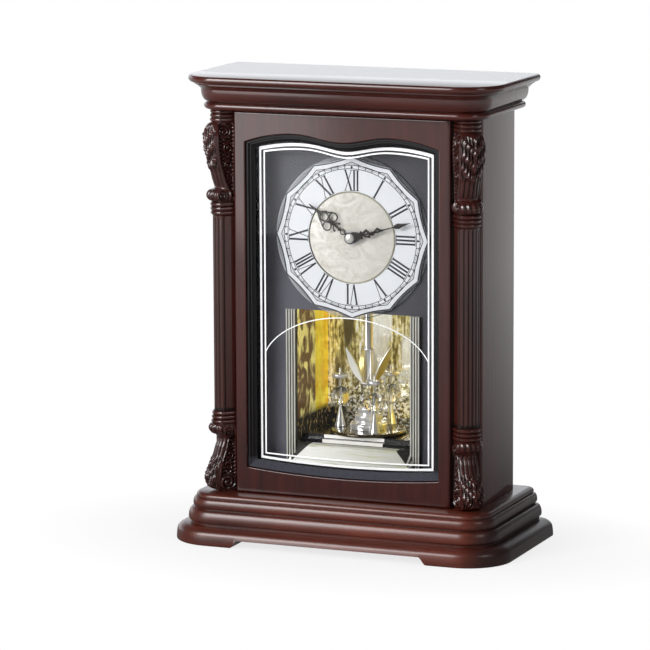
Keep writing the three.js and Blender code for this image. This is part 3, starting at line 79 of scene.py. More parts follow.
bpy.context.scene.camera = camera
print("camera stands", round(float(np.linalg.norm(CAMERA - TARGET))), "mm from its target")

# %% [markdown]
# Shader sums are easier to read as sums. This small class wraps one socket of a node, so that
# `1 - mask * 0.5` adds the Math nodes for it. Any other node comes from `Graph.node`, for a
# material and for the world alike.

# %% Shader arithmetic
class Value:
    """One output socket, with the operators that a material here uses."""

    def __init__(self, graph, socket):
        self.graph, self.socket = graph, socket

    def _math(self, kind, first, second):
        return self.graph.node("ShaderNodeMath", {"operation": kind}, [first, second])

    def __add__(self, other):
        return self._math("ADD", self, other)

    def __mul__(self, other):
        return self._math("MULTIPLY", self, other)

    def __sub__(self, other):
        return self._math("SUBTRACT", self, other)

    def __rsub__(self, other):
        return self._math("SUBTRACT", other, self)

    def __pow__(self, other):
        return self._math("POWER", self, other)

    def either(self, other):
        """The larger of two values."""
        return self._math("MAXIMUM", self, other)

    def clamp(self, low, high):
        """0 at low, 1 at high and straight between them."""
        return self.graph.node("ShaderNodeMapRange", {"clamp": True}, [self, low, high, 0.0, 1.0])


class Graph:
    """A node tree, with one call for each node that it gains."""

    def __init__(self, tree):
        self.tree = tree

    def feed(self, socket, value):
        """Links a Value to a socket, or sets the socket to a number, a vector or a colour."""
        if isinstance(value, Value):
            self.tree.links.new(value.socket, socket)
        elif isinstance(value, (tuple, list)) and len(value) == 3 and socket.type == "RGBA":
            socket.default_value = (*value, 1.0)
        else:
            socket.default_value = value

    def node(self, kind, settings=None, inputs=(), output=0):
        """Adds a node, sets its properties, feeds its inputs and gives one of its outputs."""
        made = self.tree.nodes.new(kind)
        for name, value in (settings or {}).items():
            setattr(made, name, value)
        pairs = inputs.items() if isinstance(inputs, dict) else enumerate(inputs)
        for place, value in pairs:
            self.feed(made.inputs[place], value)
        return Value(self, made.outputs[output] if len(made.outputs) else None)

    def place(self, scale=(1, 1, 1), turn=(0, 0, 0)):
        """Object coordinates, in metres, scaled and turned."""
        where = self.node("ShaderNodeTexCoord", output="Object")
        return self.node("ShaderNodeMapping", {}, {"Vector": where, "Scale": scale, "Rotation": turn})

    def along(self, letter):
        """One of the three object coordinates, in mm."""
        where = self.node("ShaderNodeTexCoord", output="Object")
        return self.node("ShaderNodeSeparateXYZ", {}, [where], output=letter) * 1000.0

    def mark(self):
        """The number called hollow that some meshes keep for each point."""
        return self.node("ShaderNodeAttribute", {"attribute_name": "hollow"}, output="Fac")

    def grain(self, scale, detail=3.0, rough=0.5, warp=0.0, stretch=(1, 1, 1), turn=(0, 0, 0)):
        """Noise over the object coordinates, which are stretched and turned first."""
        sockets = {"Vector": self.place(stretch, turn), "Scale": scale, "Detail": detail,
                   "Roughness": rough, "Distortion": warp}
        return self.node("ShaderNodeTexNoise", {}, sockets)

    def mix(self, factor, low, high):
        """Colour blend from low to high."""
        return self.node("ShaderNodeMix", {"data_type": "RGBA"}, {0: factor, 6: low, 7: high}, output=2)

    def ray_is(self, *kinds):
        """1 for rays of the named kinds, such as Camera, and 0 for the rest."""
        seen = [self.node("ShaderNodeLightPath", output=f"Is {kind} Ray") for kind in kinds]
        total = seen[0]
        for one in seen[1:]:
            total = total.either(one)
        return total


class Finish(Graph):
    """A material with one Principled shader, built node by node."""

    def __init__(self, name, **sockets):
        self.material = bpy.data.materials.new(name)
        self.material.use_nodes = True
        super().__init__(self.material.node_tree)
        self.shader = self.tree.nodes["Principled BSDF"]
        self.set(**sockets)

    def set(self, **sockets):
        """Feeds the shader's inputs, named with underscores for spaces."""
        for name, value in sockets.items():
            self.feed(self.shader.inputs[name.replace("_", " ")], value)

    def two_tone(self, dark, light, scale, detail=3.0, stretch=(1, 1, 1)):
        """Base colour that noise mixes from two tones. Gives back the noise."""
        grain = self.grain(scale, detail, stretch=stretch)
        self.set(Base_Color=self.mix(grain, dark, light))
        return grain

    def bump(self, height, strength, distance):
        """Small relief in the shading. The distance is in metres."""
        sockets = {"Height": height, "Strength": strength, "Distance": distance}
        self.set(Normal=self.node("ShaderNodeBump", {}, sockets))

    def paint(self, thing):
        """Puts this finish on an object in place of what it has."""
        thing.data.materials.clear()
        thing.data.materials.append(self.material)
        return thing


print("shader helpers ready")

# %% [markdown]
# Nearly every piece is a grid of points. A grid is as easy to compute as a formula of two
# parameters, and its faces follow from its rows and columns alone. A closed ring of columns
# makes a tube, and a cap at each end makes it solid. A mesh may keep one number for each point,
# called hollow, for its finish to read.

# %% Surfaces from grids
def skin(name, points, ring=True, capped=True, crease=40, hollow=None):
    """Mesh object from an (rows, columns, 3) array in mm. Rows join to the next row, columns to the
    next column, and the last column to the first if ring. Caps close the first and last row."""
    rows, columns, _ = points.shape
    index = np.arange(rows * columns).reshape(rows, columns)
    after = np.roll(index, -1, axis=1) if ring else index[:, 1:]
    here = index if ring else index[:, :-1]
    quads = np.stack([here[:-1], after[:-1], after[1:], here[1:]], axis=-1).reshape(-1, 4)
    faces = quads.tolist()
    if capped:
        faces += [index[0, ::-1].tolist(), index[-1].tolist()]
    return mesh_object(name, points.reshape(-1, 3), faces, crease, hollow)


def mesh_object(name, points, faces, crease=40, hollow=None):
    """Merges doubled points, turns every face outwards and smooths all but the sharp edges. hollow is a
    number for each point, kept as an attribute that a finish can read."""
    mesh = bpy.data.meshes.new(name)
    mesh.from_pydata((np.asarray(points) * MM).tolist(), [], faces)
    if hollow is not None:
        marks = mesh.attributes.new("hollow", "FLOAT", "POINT")
        marks.data.foreach_set("value", np.asarray(hollow, np.float32).ravel())
    work = bmesh.new()
    work.from_mesh(mesh)
    bmesh.ops.remove_doubles(work, verts=work.verts, dist=1e-7)
    bmesh.ops.dissolve_degenerate(work, edges=work.edges, dist=1e-8)
    bmesh.ops.recalc_face_normals(work, faces=work.faces)
    work.to_mesh(mesh)
    work.free()
    return shown(name, mesh, crease)


def shown(name, mesh, crease=40):
    """Object of a mesh, smooth but for edges sharper than the crease angle."""
    mesh.shade_smooth()
    mesh.set_sharp_from_angle(angle=math.radians(crease))
    made = bpy.data.objects.new(name, mesh)
    bpy.context.scene.collection.objects.link(made)
    return made


def join(name, things):
    """One object from several, kept as separate shells of one mesh."""
    work = bmesh.new()
    for thing in things:
        work.from_mesh(thing.data)
    mesh = bpy.data.meshes.new(name)
    work.to_mesh(mesh)
    work.free()
    for thing in things:
        bpy.data.objects.remove(thing)
    return shown(name, mesh)


def dress(thing, finish, body, *replaced):
    """Paints a piece, hangs it on its body and hides the solids that it stands for."""
    finish.paint(thing)
    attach(thing, body)
    if replaced:
        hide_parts(*replaced)
    return thing


def lathe(name, profile, centre, axis="Z", sides=48, crease=30, capped=True):
    """Revolves (radius, height) pairs in mm about an axis, Z or Y, through centre. A closed profile needs
    no caps."""
    profile = np.asarray(profile, float)
    angle = np.arange(sides) * 2 * np.pi / sides
    across = profile[:, 0, None] * np.cos(angle)
    aside = profile[:, 0, None] * np.sin(angle)
    along = np.repeat(profile[:, 1:2], sides, axis=1)
    order = {"Z": (across, aside, along), "Y": (across, along, aside)}[axis]
    points = np.stack(order, axis=-1) + np.asarray(centre, float)
    return skin(name, points, capped=capped, crease=crease)


def span(solid, axis):
    """Where a solid starts and where it ends on one axis, in mm."""
    return [getattr(corner, axis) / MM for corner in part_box(solid)]


print("helpers: skin, lathe, join, dress, span")

# %% [markdown]
# The lacquer is a dark red-brown stain under a thick clear coat. Grain shows only faintly
# through it, so most of what the eye reads is the coat's reflection. The coat is Principled's
# own coat layer, and the grain is noise stretched along the board. In the carving, shade is
# painted into the hollows, near black, where a number on the mesh marks them.

# %% Lacquered wood
def lacquer(name, along, dark=(0.020, 0.0036, 0.0028), light=(0.088, 0.0125, 0.0075), gloss=0.12,
            carved=False, shade_right_end=False):
    """Stained wood under gloss. Noise is squeezed to long streaks on the axis named by along. Shade is
    painted into the hollows of a carving, near black and dull, and shade_right_end paints shade over the
    right end from x = 100 mm on."""
    stretch = {"X": (6, 60, 60), "Y": (60, 6, 60), "Z": (60, 60, 6)}[along]
    wood = Finish(name, Roughness=0.45, Specular_IOR_Level=0.15, Coat_Weight=1.0, Coat_Roughness=gloss,
                  Coat_IOR=1.52)
    streak = wood.grain(3.0, detail=6.0, rough=0.6, warp=0.4, stretch=stretch)
    cloud = wood.grain(9.0, detail=2.0)
    tone = (streak * 0.65 + cloud * 0.45 - 0.05).clamp(0.25, 0.85)
    colour = wood.mix(tone, dark, light)
    if carved:
        # Painted shade: the hollows of the carving are painted near black, and their coat is thinned.
        hollow = wood.mark()
        colour = wood.mix(hollow, colour, (0.004, 0.0018, 0.0016))
        wood.set(Coat_Weight=1 - hollow * 0.9)
    # Painted shade: the base's right end is darkened, away from the key lamp at the left.
    if shade_right_end:
        colour = wood.mix(wood.along("X").clamp(100, 117) * 0.8, colour, (0.012, 0.007, 0.007))
    wood.set(Base_Color=colour)
    pore = wood.grain(14.0, detail=2.0, stretch=stretch)
    wood.bump(pore, 0.03, 0.0004)
    return wood


wood_up = lacquer("lacquer, grain upright", "Z")
wood_along = lacquer("lacquer, grain across the clock", "X", light=(0.115, 0.016, 0.008))
wood_base = lacquer("lacquer of the base", "X", dark=(0.026, 0.0046, 0.003), light=(0.20, 0.032, 0.012),
                    gloss=0.30, shade_right_end=True)
# Painted shade: the recessed corner posts between column and frame get a near-black lacquer.
wood_painted_shade = lacquer("lacquer in the corners", "Z", dark=(0.004, 0.001, 0.001),
                    light=(0.012, 0.003, 0.002), gloss=0.4)
wood_carved = lacquer("lacquer over carving", "Z", light=(0.085, 0.015, 0.009), gloss=0.06, carved=True)
print("lacquers:", [m.name for m in bpy.data.materials if m.name.startswith("lacquer")])

# %% [markdown]
# The other finishes follow, from the front inwards. Each gets what the real one shows at its own
# scale. The bezel's sill is painted paler below 61 mm, a painted reflection of the sky. The mask is
# painted paler towards its lower left corner and darker to the right: painted light from a lamp there.

# %% Enamel, glass and mask paint
black_gloss = Finish("black enamel", Roughness=0.12, Coat_Weight=1.0, Coat_Roughness=0.04)
enamel_tone = black_gloss.two_tone((0.009, 0.009, 0.011), (0.017, 0.017, 0.019), 60.0)
black_gloss.bump(enamel_tone, 0.02, 0.0003)

bezel_black = Finish("satin black bezel", Roughness=0.36, Specular_IOR_Level=0.25)
bezel_tone = bezel_black.grain(500.0, detail=2.0)
bezel_dark = bezel_black.mix(bezel_tone, (0.009, 0.008, 0.009), (0.018, 0.016, 0.018))
# Painted reflection: the sloping sill below 61 mm is paler, standing for the sky that it mirrors.
on_slope = (1 - bezel_black.along("Z").clamp(60.0, 62.0)) * bezel_tone.clamp(-0.4, 0.6)
bezel_black.set(Base_Color=bezel_black.mix(on_slope, bezel_dark, (0.050, 0.050, 0.066)))

glass = Finish("window glass", Metallic=1.0, Roughness=0.02)
glass.two_tone((0.97, 0.98, 0.98), (1.0, 1.0, 1.0), 12.0, detail=2.0)
glass.set(Alpha=glass.node("ShaderNodeFresnel", {}, {"IOR": 1.2}))

mask_paint = Finish("blue-grey mask paint", Roughness=0.42, Specular_IOR_Level=0.35)
mask_fleck = mask_paint.grain(900.0, detail=2.0)
# Painted light and shade: paler at the left and at the lower left corner, towards the lamp, darker to the
# right.
to_right = mask_paint.along("X").clamp(-75, 65)
to_foot = (1 - mask_paint.along("Z").clamp(80, 230)) * (1 - to_right)
mask_left = mask_paint.mix(mask_fleck, (0.062, 0.062, 0.084), (0.098, 0.098, 0.126))
mask_right = mask_paint.mix(mask_fleck, (0.034, 0.034, 0.043), (0.056, 0.056, 0.068))
mask_shaded = mask_paint.mix(to_right, mask_left, mask_right)
mask_paint.set(Base_Color=mask_paint.mix(to_foot * 0.75, mask_shaded, (0.20, 0.195, 0.235)))
mask_paint.bump(mask_fleck, 0.05, 0.0002)
print("finishes so far:", len(bpy.data.materials))

# %% [markdown]
# The chamber's trim is one piece of pale metal: a sill between two reeded pillars. The reeds'
# light and shade are painted as a to-and-fro wave of the distance from the middle. The sill is
# painted paler at the left, towards the lamp, with streaks of painted reflection, and painted
# shade darkens its ends by the pillars.

# %% Champagne trim
PILLAR_EDGE = 44.2
champagne = Finish("champagne metal", Specular_IOR_Level=0.15)
brushing = champagne.grain(6.0, detail=2.0, stretch=(40, 400, 400))
from_middle = champagne.along("X").either(0 - champagne.along("X"))
# Painted light and shade: the reeds are stripes of dark and bright by the distance from the middle.
reeds = champagne.node("ShaderNodeMath", {"operation": "PINGPONG"}, [from_middle - PILLAR_EDGE, 1.0])
reeded = champagne.mix(reeds.clamp(0.1, 0.9), (0.03, 0.028, 0.022), (1.0, 0.98, 0.90))
# Painted reflection: olive streaks across the sill.
sill_streak = champagne.grain(6.0, detail=2.0, stretch=(7, 90, 90))
# Painted light: the sill is paler at the left, towards the lamp.
sill_lit_left = champagne.mix(champagne.along("X").clamp(-35, 40), (0.90, 0.90, 0.86), (0.52, 0.52, 0.47))
sill_tone = champagne.mix(sill_streak.clamp(0.55, 0.68), sill_lit_left, (0.52, 0.54, 0.32))
# Painted shade: a near-black strip where the sill's ends meet the pillars.
left_end = (1 - champagne.along("X").clamp(-1, 0)) * 4
beyond_sill = (from_middle + champagne.along("Z") + left_end).clamp(107.0, 107.4)
on_pillar = from_middle.clamp(44.0, PILLAR_EDGE) * beyond_sill
sill_shaded_ends = champagne.mix(beyond_sill, sill_tone, (0.035, 0.033, 0.028))
champagne.set(Base_Color=champagne.mix(on_pillar, sill_shaded_ends, reeded), Metallic=on_pillar * 0.35,
              Roughness=brushing * 0.16 + 0.5 - on_pillar * 0.26)
print("reeds start", PILLAR_EDGE, "mm from the middle")

# %% [markdown]
# The chamber's mirrors show broken reflections of gold and crystal. They are painted: upright
# streaks, flecks and dark and pale panes on the back wall, mottling at the side walls' front,
# amber further in, and crumbs of light and dark low down. Near the stage at the left the walls are
# painted dark, as shade. A little glow on the faces that look into the chamber makes up for the
# light that real mirrors would gather.

# %% Gold mirror
gold_mirror = Finish("gold mirror", Metallic=0.9, Emission_Strength=0.30)
streak = gold_mirror.grain(1.0, detail=4.0, rough=0.72, stretch=(330, 330, 26))
fleck = gold_mirror.grain(430.0, detail=3.0, stretch=(1, 1, 0.5))
blotch = gold_mirror.grain(95.0, detail=4.0, warp=0.8, stretch=(1, 1, 0.6))
crumbs = gold_mirror.grain(620.0, detail=2.0)
pane = gold_mirror.grain(75.0, detail=1.0, stretch=(1, 1, 0.12))
aside, inwards, height = [gold_mirror.along(letter) for letter in "XYZ"]
from_middle = aside.either(0 - aside)
low_down = 1 - height.clamp(92, 124)
glitter = streak * 0.62 + fleck * 0.48 - 0.05
glint = glitter + low_down * 0.03
olive = gold_mirror.mix(glitter.clamp(0.42, 0.56), (0.20, 0.15, 0.04), (0.90, 0.80, 0.36))
flecked = gold_mirror.mix(glint.clamp(0.55, 0.61), olive, (1.0, 0.99, 0.92))
crumbled = gold_mirror.mix(crumbs.clamp(0.50, 0.56), (0.05, 0.045, 0.03), (1.0, 1.0, 0.97))
crumb_share = low_down * crumbs.either(1 - crumbs).clamp(0.52, 0.58) * 0.85
strewn = gold_mirror.mix(crumb_share, flecked, crumbled)
shadowed = gold_mirror.mix(pane.clamp(0.34, 0.40), (0.13, 0.10, 0.04), strewn)
pale_share = pane.clamp(0.56, 0.60) * height.clamp(104, 118) * 0.9
back_wall = gold_mirror.mix(pale_share, shadowed, (0.97, 0.96, 0.88))
mottled = gold_mirror.mix(blotch.clamp(0.48, 0.60), (0.15, 0.08, 0.03), (0.98, 0.90, 0.34))
amber = gold_mirror.mix(blotch.clamp(0.35, 0.65), (0.85, 0.50, 0.01), (1.0, 0.82, 0.06))
side_wall = gold_mirror.mix(inwards.clamp(27.0, 28.0), mottled, amber)
on_side = from_middle.clamp(44.4, 44.8)
# Painted shade: near the stage at the left the walls turn dark.
near_floor = (1 - height.clamp(86.0, 90.0)) * (1 - aside.clamp(-34.0, -22.0))
floor_shade = gold_mirror.mix(fleck.clamp(0.56, 0.62), (0.03, 0.026, 0.02), (0.50, 0.36, 0.12))
walls = gold_mirror.mix(near_floor, gold_mirror.mix(on_side, back_wall, side_wall), floor_shade)
inner_face = (1 - from_middle.clamp(45.3, 45.8)) * (1 - inwards.clamp(50.9, 51.4))
gold_mirror.set(Base_Color=walls, Emission_Color=gold_mirror.mix(inner_face, (0, 0, 0), walls),
                Roughness=streak * 0.2)
gold_mirror.bump(streak, 0.4, 0.0015)
print("mirror nodes:", len(gold_mirror.tree.nodes))

# %% [markdown]
# Bright metals are never one colour: a breath of noise stands for fingerprints and brushing.
# The petals are gilt on one half, which a number on their mesh marks. The clear disc behind the
# dial is seen mostly by its rim, which is painted: a painted highlight on the side towards the lamp
# and painted shade on the other.

# %% Bright metals, crystal and acrylic
petal_gold = Finish("petal mirror, half of it gilt", Metallic=0.12, Roughness=0.16)
sheen = petal_gold.grain(120.0, detail=2.0)
gilt = petal_gold.mix(sheen, (0.62, 0.50, 0.12), (0.80, 0.70, 0.28))
silvered = petal_gold.mix(sheen, (0.90, 0.90, 0.86), (1.0, 1.0, 0.97))
petal_gold.set(Base_Color=petal_gold.mix(petal_gold.mark(), silvered, gilt))

chrome = Finish("chrome", Metallic=0.7)
film = chrome.two_tone((0.92, 0.92, 0.93), (1.0, 1.0, 0.99), 180.0, detail=2.0)
chrome.set(Roughness=film * 0.05 + 0.03)

# Painted reflection: white with a faint glow, standing for the pale sill that the strips mirror.
strip_silver = Finish("mirror strip", Metallic=0.15, Roughness=0.2, Emission_Strength=0.32)
strip_film = strip_silver.grain(60.0, detail=2.0, stretch=(1, 8, 8))
strip_tone = strip_silver.mix(strip_film, (0.80, 0.78, 0.72), (1.0, 0.99, 0.96))
strip_silver.set(Base_Color=strip_tone, Emission_Color=strip_tone)

nickel = Finish("satin nickel", Metallic=0.45)
nickel_grain = nickel.two_tone((0.70, 0.69, 0.65), (0.86, 0.85, 0.81), 700.0, detail=2.0)
nickel.set(Roughness=nickel_grain * 0.1 + 0.28)

crystal = Finish("cut crystal", Roughness=0.0, IOR=1.75, Transmission_Weight=1.0)
crystal.two_tone((0.96, 0.98, 1.0), (1.0, 1.0, 0.99), 90.0)

acrylic = Finish("clear acrylic", Roughness=0.08)
acrylic_streak = acrylic.grain(30.0)
# Painted highlight and shade: the rim is bright on the left, towards the lamp, and dark on the right, and the
# disc is more opaque to the left.
leftward = 1 - acrylic.along("X").clamp(-48, 20)
outwards = (acrylic.along("X") ** 2 + (acrylic.along("Z") - CENTRE) ** 2) ** 0.5
rim = outwards.clamp(58.3, 58.7)
acrylic_tint = acrylic.mix(acrylic_streak, (0.34, 0.36, 0.40), (0.66, 0.69, 0.74))
rim_lit_and_shaded = acrylic.mix(leftward, (0.05, 0.055, 0.065), (0.85, 0.87, 0.90))
acrylic.set(Base_Color=acrylic.mix(rim, acrylic_tint, rim_lit_and_shaded))
acrylic.set(Alpha=(leftward * 0.42 + acrylic_streak * 0.1 + 0.04).either(rim * 0.34))
print("finishes so far:", len(bpy.data.materials))

# %% [markdown]
# The dial's lacquer has a fine sparkle. Mother-of-pearl is two swirls of noise at different
# sizes, each warped and turned its own way, and it is painted darker to the right, as shade. The gold
# rim is painted dark on its left side, as shade. White print glows a little, since it must stay
# white in the shade of the frame.

# %% Dial, print and hands
dial_white = Finish("dial lacquer", Roughness=0.34)
speck = dial_white.grain(1500.0, detail=2.0)
dial_white.set(Base_Color=dial_white.mix(speck.clamp(0.35, 0.6), (0.76, 0.78, 0.825), (0.86, 0.88, 0.92)))
dial_white.bump(speck, 0.06, 0.0002)

pearl = Finish("mother-of-pearl", Roughness=0.28, Coat_Weight=0.6, Coat_Roughness=0.08)
swirl = pearl.grain(70.0, detail=5.0, rough=0.62, warp=1.6, stretch=(1, 1, 1.6), turn=(0, 0.5, 0))
patch = pearl.grain(150.0, detail=4.0, warp=2.2, stretch=(1.4, 1, 1), turn=(0, -0.7, 0))
nacre = pearl.mix(swirl.clamp(0.35, 0.68), (0.60, 0.56, 0.48), (1.0, 0.98, 0.92))
blush = pearl.mix(patch.clamp(0.45, 0.7) * 0.55, nacre, (0.95, 0.92, 0.90))
# Painted shade: the pearl darkens to the right, away from the lamp.
shade = pearl.along("X").clamp(-26, 26) * 0.75
pearl.set(Base_Color=pearl.mix(shade, blush, (0.56, 0.54, 0.49)))
pearl.bump(patch, 0.08, 0.0003)

gold = Finish("gold trim", Metallic=0.5)
gold_wear = gold.grain(300.0, detail=2.0)
gold_pale = gold.mix(gold_wear, (0.66, 0.63, 0.48), (0.90, 0.88, 0.74))
# Painted shade: the rim is dark on its left side.
gold_shaded_left = gold.mix(gold.along("X").clamp(-30, 0), (0.10, 0.09, 0.06), gold_pale)
gold.set(Base_Color=gold_shaded_left, Roughness=gold_wear * 0.1 + 0.15)

ink = Finish("blue-black ink", Roughness=0.5, Specular_IOR_Level=0.3)
ink.two_tone((0.012, 0.014, 0.024), (0.028, 0.031, 0.046), 900.0)

black_print = Finish("black print", Roughness=0.5, Specular_IOR_Level=0.2)
black_print.two_tone((0.006, 0.006, 0.008), (0.012, 0.012, 0.015), 700.0)

print_white = Finish("white print", Roughness=0.45, Emission_Color=(1.0, 1.0, 1.0),
                     Emission_Strength=0.25)
print_white.two_tone((0.90, 0.91, 0.92), (0.98, 0.98, 0.98), 700.0)

hand_paint = Finish("hand enamel", Metallic=0.3, Roughness=0.35)
hand_paint.two_tone((0.008, 0.006, 0.005), (0.024, 0.019, 0.015), 500.0)
print("finishes so far:", len(bpy.data.materials))

# %% [markdown]
# Behind and below everything is plain: moulded plastic with a cast grain, brushed steel, and the
# bronze enamel of the turning disc.

# %% Plastics, steel and bronze
def moulded(name, dark, light, rough=0.55, scale=900.0, strength=0.12):
    """Moulded plastic: two near tones of one colour and a fine cast grain."""
    plastic = Finish(name)
    grain = plastic.two_tone(dark, light, scale, detail=2.0)
    plastic.set(Roughness=grain * 0.15 + rough - 0.08)
    plastic.bump(grain, strength, 0.0003)
    return plastic


case_plastic = moulded("black moulding", (0.018, 0.018, 0.020), (0.050, 0.050, 0.053), strength=0.25)
works_plastic = moulded("works housing", (0.020, 0.020, 0.022), (0.040, 0.040, 0.042), rough=0.45)
speaker_cone = moulded("speaker paper", (0.030, 0.029, 0.028), (0.065, 0.062, 0.058), rough=0.8,
                       scale=1500.0)
cell_blue = moulded("cell jacket", (0.045, 0.085, 0.15), (0.065, 0.11, 0.19), rough=0.35, strength=0.03)

steel = Finish("plain steel", Metallic=1.0)
steel_grain = steel.two_tone((0.42, 0.43, 0.45), (0.62, 0.63, 0.65), 20.0, stretch=(20, 200, 200))
steel.set(Roughness=steel_grain * 0.2 + 0.22)

bronze_gloss = Finish("bronze enamel", Metallic=0.6, Roughness=0.12, Coat_Weight=1.0, Coat_Roughness=0.03)
bronze_gloss.two_tone((0.035, 0.024, 0.010), (0.10, 0.066, 0.020), 80.0)
print("finishes:", len(bpy.data.materials))

# %% [markdown]
# A photographer's table: white paper below and behind, a large soft light from the upper left and
# a weak one from the right. Polished lacquer shows its surroundings, so what stands around the
# clock matters as much as the lamps. Mirrored, the room is dark but for the paper behind it on
# the left and the floor further off. A pale card at the left gives the front its long soft sheen,
# and it shows in reflections only.

# %% Floor, world and lamps
floor_reach = 9000.0
floor_points = np.array([(-1, -1, 0), (1, -1, 0), (1, 1, 0), (-1, 1, 0)]) * floor_reach
floor = mesh_object("floor", floor_points, [[0, 1, 2, 3]])
paper = Finish("white paper", Roughness=0.8, Specular_IOR_Level=0.1)
paper.two_tone((0.955, 0.955, 0.955), (0.965, 0.965, 0.965), 40.0)
away, distance = [paper.node("ShaderNodeVectorMath", {"operation": "LENGTH"}, [paper.place(stretch)],
                             output="Value") for stretch in ((1, 1.5, 1), (1, 1, 1))]
near_glow = 0.78
farther_glow = away.clamp(0.12, 0.26) * (1 - near_glow)
glow = paper.ray_is("Camera", "Transmission") * (farther_glow + near_glow)
white, dim_floor, bright_floor = [paper.node("ShaderNodeEmission", {}, {"Strength": strength})
                                  for strength in (1.0, 0.16, 0.72)]
# Painted shadow: seen in reflections, the floor glows dimly near the clock and brighter further off.
far_off = distance.clamp(0.30, 1.35) ** 0.8
mirrored_floor = paper.node("ShaderNodeMixShader", {}, [far_off, dim_floor, bright_floor])
both = paper.node("ShaderNodeMixShader", {}, [glow, Value(paper, paper.shader.outputs[0]), white])
every = paper.node("ShaderNodeMixShader", {}, [paper.ray_is("Glossy"), both, mirrored_floor])
paper.feed(paper.tree.nodes["Material Output"].inputs["Surface"], every)
paper.paint(floor)

world = bpy.data.worlds.new("studio")
bpy.context.scene.world = world
world.use_nodes = True
world.node_tree.nodes.clear()
air = Graph(world.node_tree)
outlook = air.node("ShaderNodeTexCoord", output="Generated")
rightward, behind, height = [air.node("ShaderNodeSeparateXYZ", {}, [outlook], output=axis) for axis in "XYZ"]
sweep = behind.clamp(0.05, 0.35) * (1 - height.clamp(0.22, 0.42)) * (1 - rightward.clamp(0.0, 0.16))
room, dim_air, bright_air, plain = [
    air.node("ShaderNodeBackground", {}, {"Color": colour, "Strength": strength}) for colour, strength in
    (((0.98, 0.99, 1.0), 0.25), ((0.97, 0.98, 1.0), 0.07), ((0.94, 0.965, 1.0), 1.42),
     ((1.0, 1.0, 1.0), 1.0))]
panorama = air.node("ShaderNodeMixShader", {}, [sweep, dim_air, bright_air])
lit = air.node("ShaderNodeMixShader", {}, [air.ray_is("Glossy"), room, panorama])
seen = air.node("ShaderNodeMixShader", {}, [air.ray_is("Camera", "Transmission"), lit, plain])
air.node("ShaderNodeOutputWorld", {}, [seen])


def soft_light(name, place, aim, size, power, sheen_only=False):
    """Rectangular area lamp at place, in mm, facing aim. It may be kept to reflections."""
    lamp = bpy.data.lights.new(name, "AREA")
    lamp.shape = "RECTANGLE"
    lamp.size, lamp.size_y = size[0] * MM, size[1] * MM
    lamp.energy = power
    made = bpy.data.objects.new(name, lamp)
    bpy.context.scene.collection.objects.link(made)
    made.location = Vector(place) * MM
    facing = Vector(aim) - Vector(place)
    made.rotation_mode = "QUATERNION"
    made.rotation_quaternion = facing.to_track_quat("-Z", "Y")
    made.visible_camera = False
    made.visible_diffuse = not sheen_only
    return made


soft_light("key from the left", (-900, -1500, 1000), (0, 0, 150), (1000, 1000), 28.5)
soft_light("fill from the right", (1500, -640, 1000), (0, 0, 150), (600, 600), 3.0)
soft_light("sheen card", (-870, -1050, 660), (-870, 0, 660), (880, 1200), 8.0, sheen_only=True)

# %% [markdown]
# The base is three moulded boards and the top is a cornice with a nosed board. A router bit
# cuts such an edge, so each is one profile carried round the board's outline. The front corners
# are round, and those at the back are only eased by 3 mm. A board is named by its half width,
# its front and back and the radius of its front corners.

# %% Mouldings
def arc(start, end, level_first, steps=10):
    """Quarter of an ellipse between two (inset, z) points: level at its start, or upright there."""
    turn = np.linspace(0, np.pi / 2, steps + 1)[1:]
    a, b = np.asarray(start, float), np.asarray(end, float)
    first, second = (np.sin(turn), 1 - np.cos(turn)) if level_first else (1 - np.cos(turn), np.sin(turn))
    return np.stack([a[0] + (b[0] - a[0]) * first, a[1] + (b[1] - a[1]) * second], axis=1)


def outline(half, front, back_edge, radius, inset, steps=18):
    """Board's edge seen from above for each inset: (insets, points, 2). Corners are quarter circles."""
    inset = np.asarray(inset, float)[:, None]
    x, y = half - inset, front + inset
    eased = 3.0
    r = np.maximum(radius - inset, eased)
    small, sweep = np.linspace(0, np.pi / 2, 5), np.linspace(0, np.pi / 2, steps)
    corners = [
        (x - eased, back_edge - eased + 0 * x, eased + 0 * x, small),
        (eased - x, back_edge - eased + 0 * x, eased + 0 * x, small + np.pi / 2),
        (r - x, y + r, r, sweep + np.pi),
        (x - r, y + r, r, sweep + 1.5 * np.pi),
    ]
    runs = [np.stack([cx + rr * np.cos(t), cy + rr * np.sin(t)], axis=-1) for cx, cy, rr, t in corners]
    return np.concatenate(runs, axis=1)


def board(name, profile, half, front, back_edge, radius):
    """Solid board: rings of the outline stacked through the (inset, z) profile."""
    profile = np.concatenate([np.atleast_2d(run) for run in profile])
    flat = outline(half, front, back_edge, radius, profile[:, 0])
    z = np.repeat(profile[:, 1, None, None], flat.shape[1], axis=1)
    return skin(name, np.concatenate([flat, z], axis=-1), crease=32)


